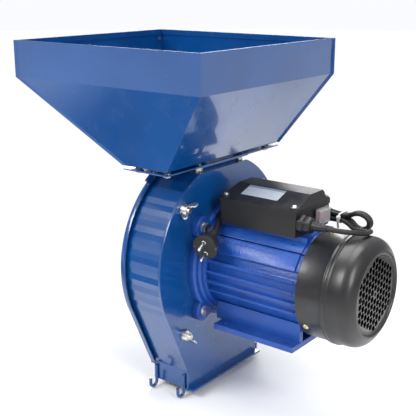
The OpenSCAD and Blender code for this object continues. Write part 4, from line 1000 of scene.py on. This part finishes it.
gland = {
    "at": (154, -33, 90),
    "foot": (0, 8.4, 13, 0.8),
    "washer": [(8.2, 0.3), (8.2, 11.2), (9.4, 11.2), (9.4, 0.3)],
    "nut": (9.2, 18.2, 12, 1.0),
    "sleeve": [(18, 3.0), (18, 10.6), (19.4, 10.4), (20.6, 8.6), (21, 6.9), (23, 6.8), (23.6, 6.0),
               (25.4, 5.9), (26, 6.5), (28, 6.3), (28.6, 5.5), (30.4, 5.4), (31, 5.9), (33, 5.7),
               (33.6, 5.0), (35.4, 4.9),
               (36, 5.3), (38, 5.1), (38.6, 4.6), (40.4, 4.5), (41, 4.7), (42, 4.3), (42, 3.4), (20, 3.4)],
}


def makeGland(g):
    place = alongAxis(onMill(*g["at"]), (1, 0, 0))
    base = hexPrism("glandBase", *[mm(v) for v in g["foot"]])
    dome = hexPrism("glandNut", *[mm(v) for v in g["nut"]])
    washer = turned("glandWasher", inMetres(g["washer"]), 48)
    sleeve = turned("glandSleeve", inMetres(g["sleeve"]), 48)
    whole = joined("cableGland", base, dome, washer, sleeve)
    bakePlace(whole, place)
    smooth(whole, 35)
    finish(whole, "black_plastic")
    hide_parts("cable_gland")


makeGland(gland)

# wire hooks for the sack

hooks = {
    "wire": 2.5, "side": 89.2, "bend": 7, "bendSteps": 18, "top": -168, "turn": -194, "leg": 6, "tip": 9,
    "along": (-64, -9),
}


def makeHooks(h):
    wires = []
    for x in h["along"]:
        for side in (-1, 1):
            y = side * h["side"]
            points = [onMill(x, y, h["top"]), onMill(x, y, h["turn"] + h["leg"])]
            for k in range(h["bendSteps"] + 1):
                a = math.pi * k / h["bendSteps"]
                points.append(onMill(x, side * (h["side"] + h["bend"] * (1 - math.cos(a))),
                                     h["turn"] - h["bend"] * math.sin(a)))
            points.append(onMill(x, side * (h["side"] + 2 * h["bend"]), h["turn"] + h["tip"]))
            w = wire("hook", points, mm(h["wire"]), 5)
            pick(w)
            bpy.ops.object.convert(target="MESH")
            wires.append(bpy.context.object)
    obj = joined("sackHookWires", *wires)
    pick(obj)
    bpy.ops.object.mode_set(mode="EDIT")
    bpy.ops.mesh.select_all(action="SELECT")
    bpy.ops.mesh.remove_doubles(threshold=0.00002)
    bpy.ops.mesh.normals_make_consistent(inside=False)
    bpy.ops.object.mode_set(mode="OBJECT")
    smooth(obj, 40)
    finish(obj, "mill_enamel")
    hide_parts("sack_hooks")


makeHooks(hooks)

# wing nuts, modelled once

wingNut = {
    "offset": 97,
    "hub": [(0, 4.08), (0, 8.6), (0.4, 9.0), (1.6, 8.9), (7.4, 6.9), (8.6, 6.5), (9.0, 6.0), (9.0, 4.08)],
    "root": [(2.0, 1.2), (8.4, 1.2), (10.8, 3.0)],
    "neck": [(7.0, 9.6), (2.0, 8.4)],
    "lobe": 4.6,
    "lobeAt": (12.6, 12.4),
    "thick": 2.8,
    "turns": {"wing_nut_1": (-1, 1, -60, "wing_nut_a"), "wing_nut_2": (-1, -1, 35, "wing_nut_b"),
              "wing_nut_3": (1, 1, 50, "wing_nut_c"), "wing_nut_4": (1, -1, -25, "wing_nut_d")},
}


def makeWing(side):  # a flat ear that leans out and up from the hub and ends in a round lobe
    w = wingNut
    cx, cz = w["lobeAt"]
    outline = list(w["root"])
    outline += [(cx + w["lobe"] * math.cos(math.radians(a)), cz + w["lobe"] * math.sin(math.radians(a)))
                for a in range(-50, 171, 20)]
    outline += w["neck"]
    clearSelection()
    mesh = bpy.data.meshes.new("wing")
    half = w["thick"] / 2
    n = len(outline)
    corners = [(mm(x), mm(y), mm(z)) for y in (-half, half) for x, z in outline]
    faces = [list(range(n)), list(range(2 * n - 1, n - 1, -1))]
    faces += [[k, k + n, (k + 1) % n + n, (k + 1) % n] for k in range(n)]
    mesh.from_pydata(corners, [], faces)
    obj = bpy.data.objects.new("wing", mesh)
    bpy.context.collection.objects.link(obj)
    pick(obj)
    bpy.ops.object.mode_set(mode="EDIT")
    bpy.ops.mesh.select_all(action="SELECT")
    bpy.ops.mesh.normals_make_consistent(inside=False)
    bpy.ops.object.mode_set(mode="OBJECT")
    useModifier(obj, "BEVEL", width=0.0008, segments=3, limit_method="ANGLE", angle_limit=math.radians(50))
    if side < 0:
        bakePlace(obj, Matrix.Rotation(math.pi, 4, "Z"))
    return obj


def makeWingNuts(w):
    hub = turned("wingNut", inMetres(w["hub"] + [w["hub"][0]]), 48, closed=False)
    for side in (-1, 1):
        wing = makeWing(side)
        useModifier(hub, "BOOLEAN", object=wing, operation="UNION", solver="EXACT")
        bpy.data.objects.remove(wing)
    smooth(hub, 40)
    for name, (y, z, turn, body) in w["turns"].items():
        nut = copyOf(hub, "wingNut" + body[-1].upper())
        at = Matrix.Translation(onMill(0, y * w["offset"], z * w["offset"]))
        spin = Matrix.Rotation(math.radians(turn), 4, "X")
        bakePlace(nut, at @ spin @ Matrix.Rotation(math.pi / 2, 4, "Y"))
        finish(nut, "zinc", body)
        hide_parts(name)
    bpy.data.objects.remove(hub)


makeWingNuts(wingNut)
print("small fittings made")

# weld bead round the drum, where its band meets the side plate

weld = {
    "radius": 1.1, "plateX": -3.6, "drumRadius": 148.2, "lift": 4, "from": -52, "to": 232,
    "steps": 260, "ripple": 0.16, "pace": 1.9, "underTop": 0.3,
}


def makeDrumWeld(w):
    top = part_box("drum_band")[1][2] - mm(w["underTop"])
    points = []
    for k in range(w["steps"] + 1):
        a = math.radians(w["from"] + (w["to"] - w["from"]) * k / w["steps"])
        p = onMill(w["plateX"], w["drumRadius"] * math.cos(a), w["lift"] + w["drumRadius"] * math.sin(a))
        p.z = min(p.z, top)
        p.x -= mm(w["ripple"]) * (0.5 + 0.5 * math.sin(k * w["pace"]))
        points.append(p)
    obj = wire("drumWeld", points, mm(w["radius"]), 2)
    pick(obj)
    bpy.ops.object.convert(target="MESH")
    obj = bpy.context.object
    smooth(obj, 60)
    finish(obj, "mill_enamel")


makeDrumWeld(weld)
print("weld made")
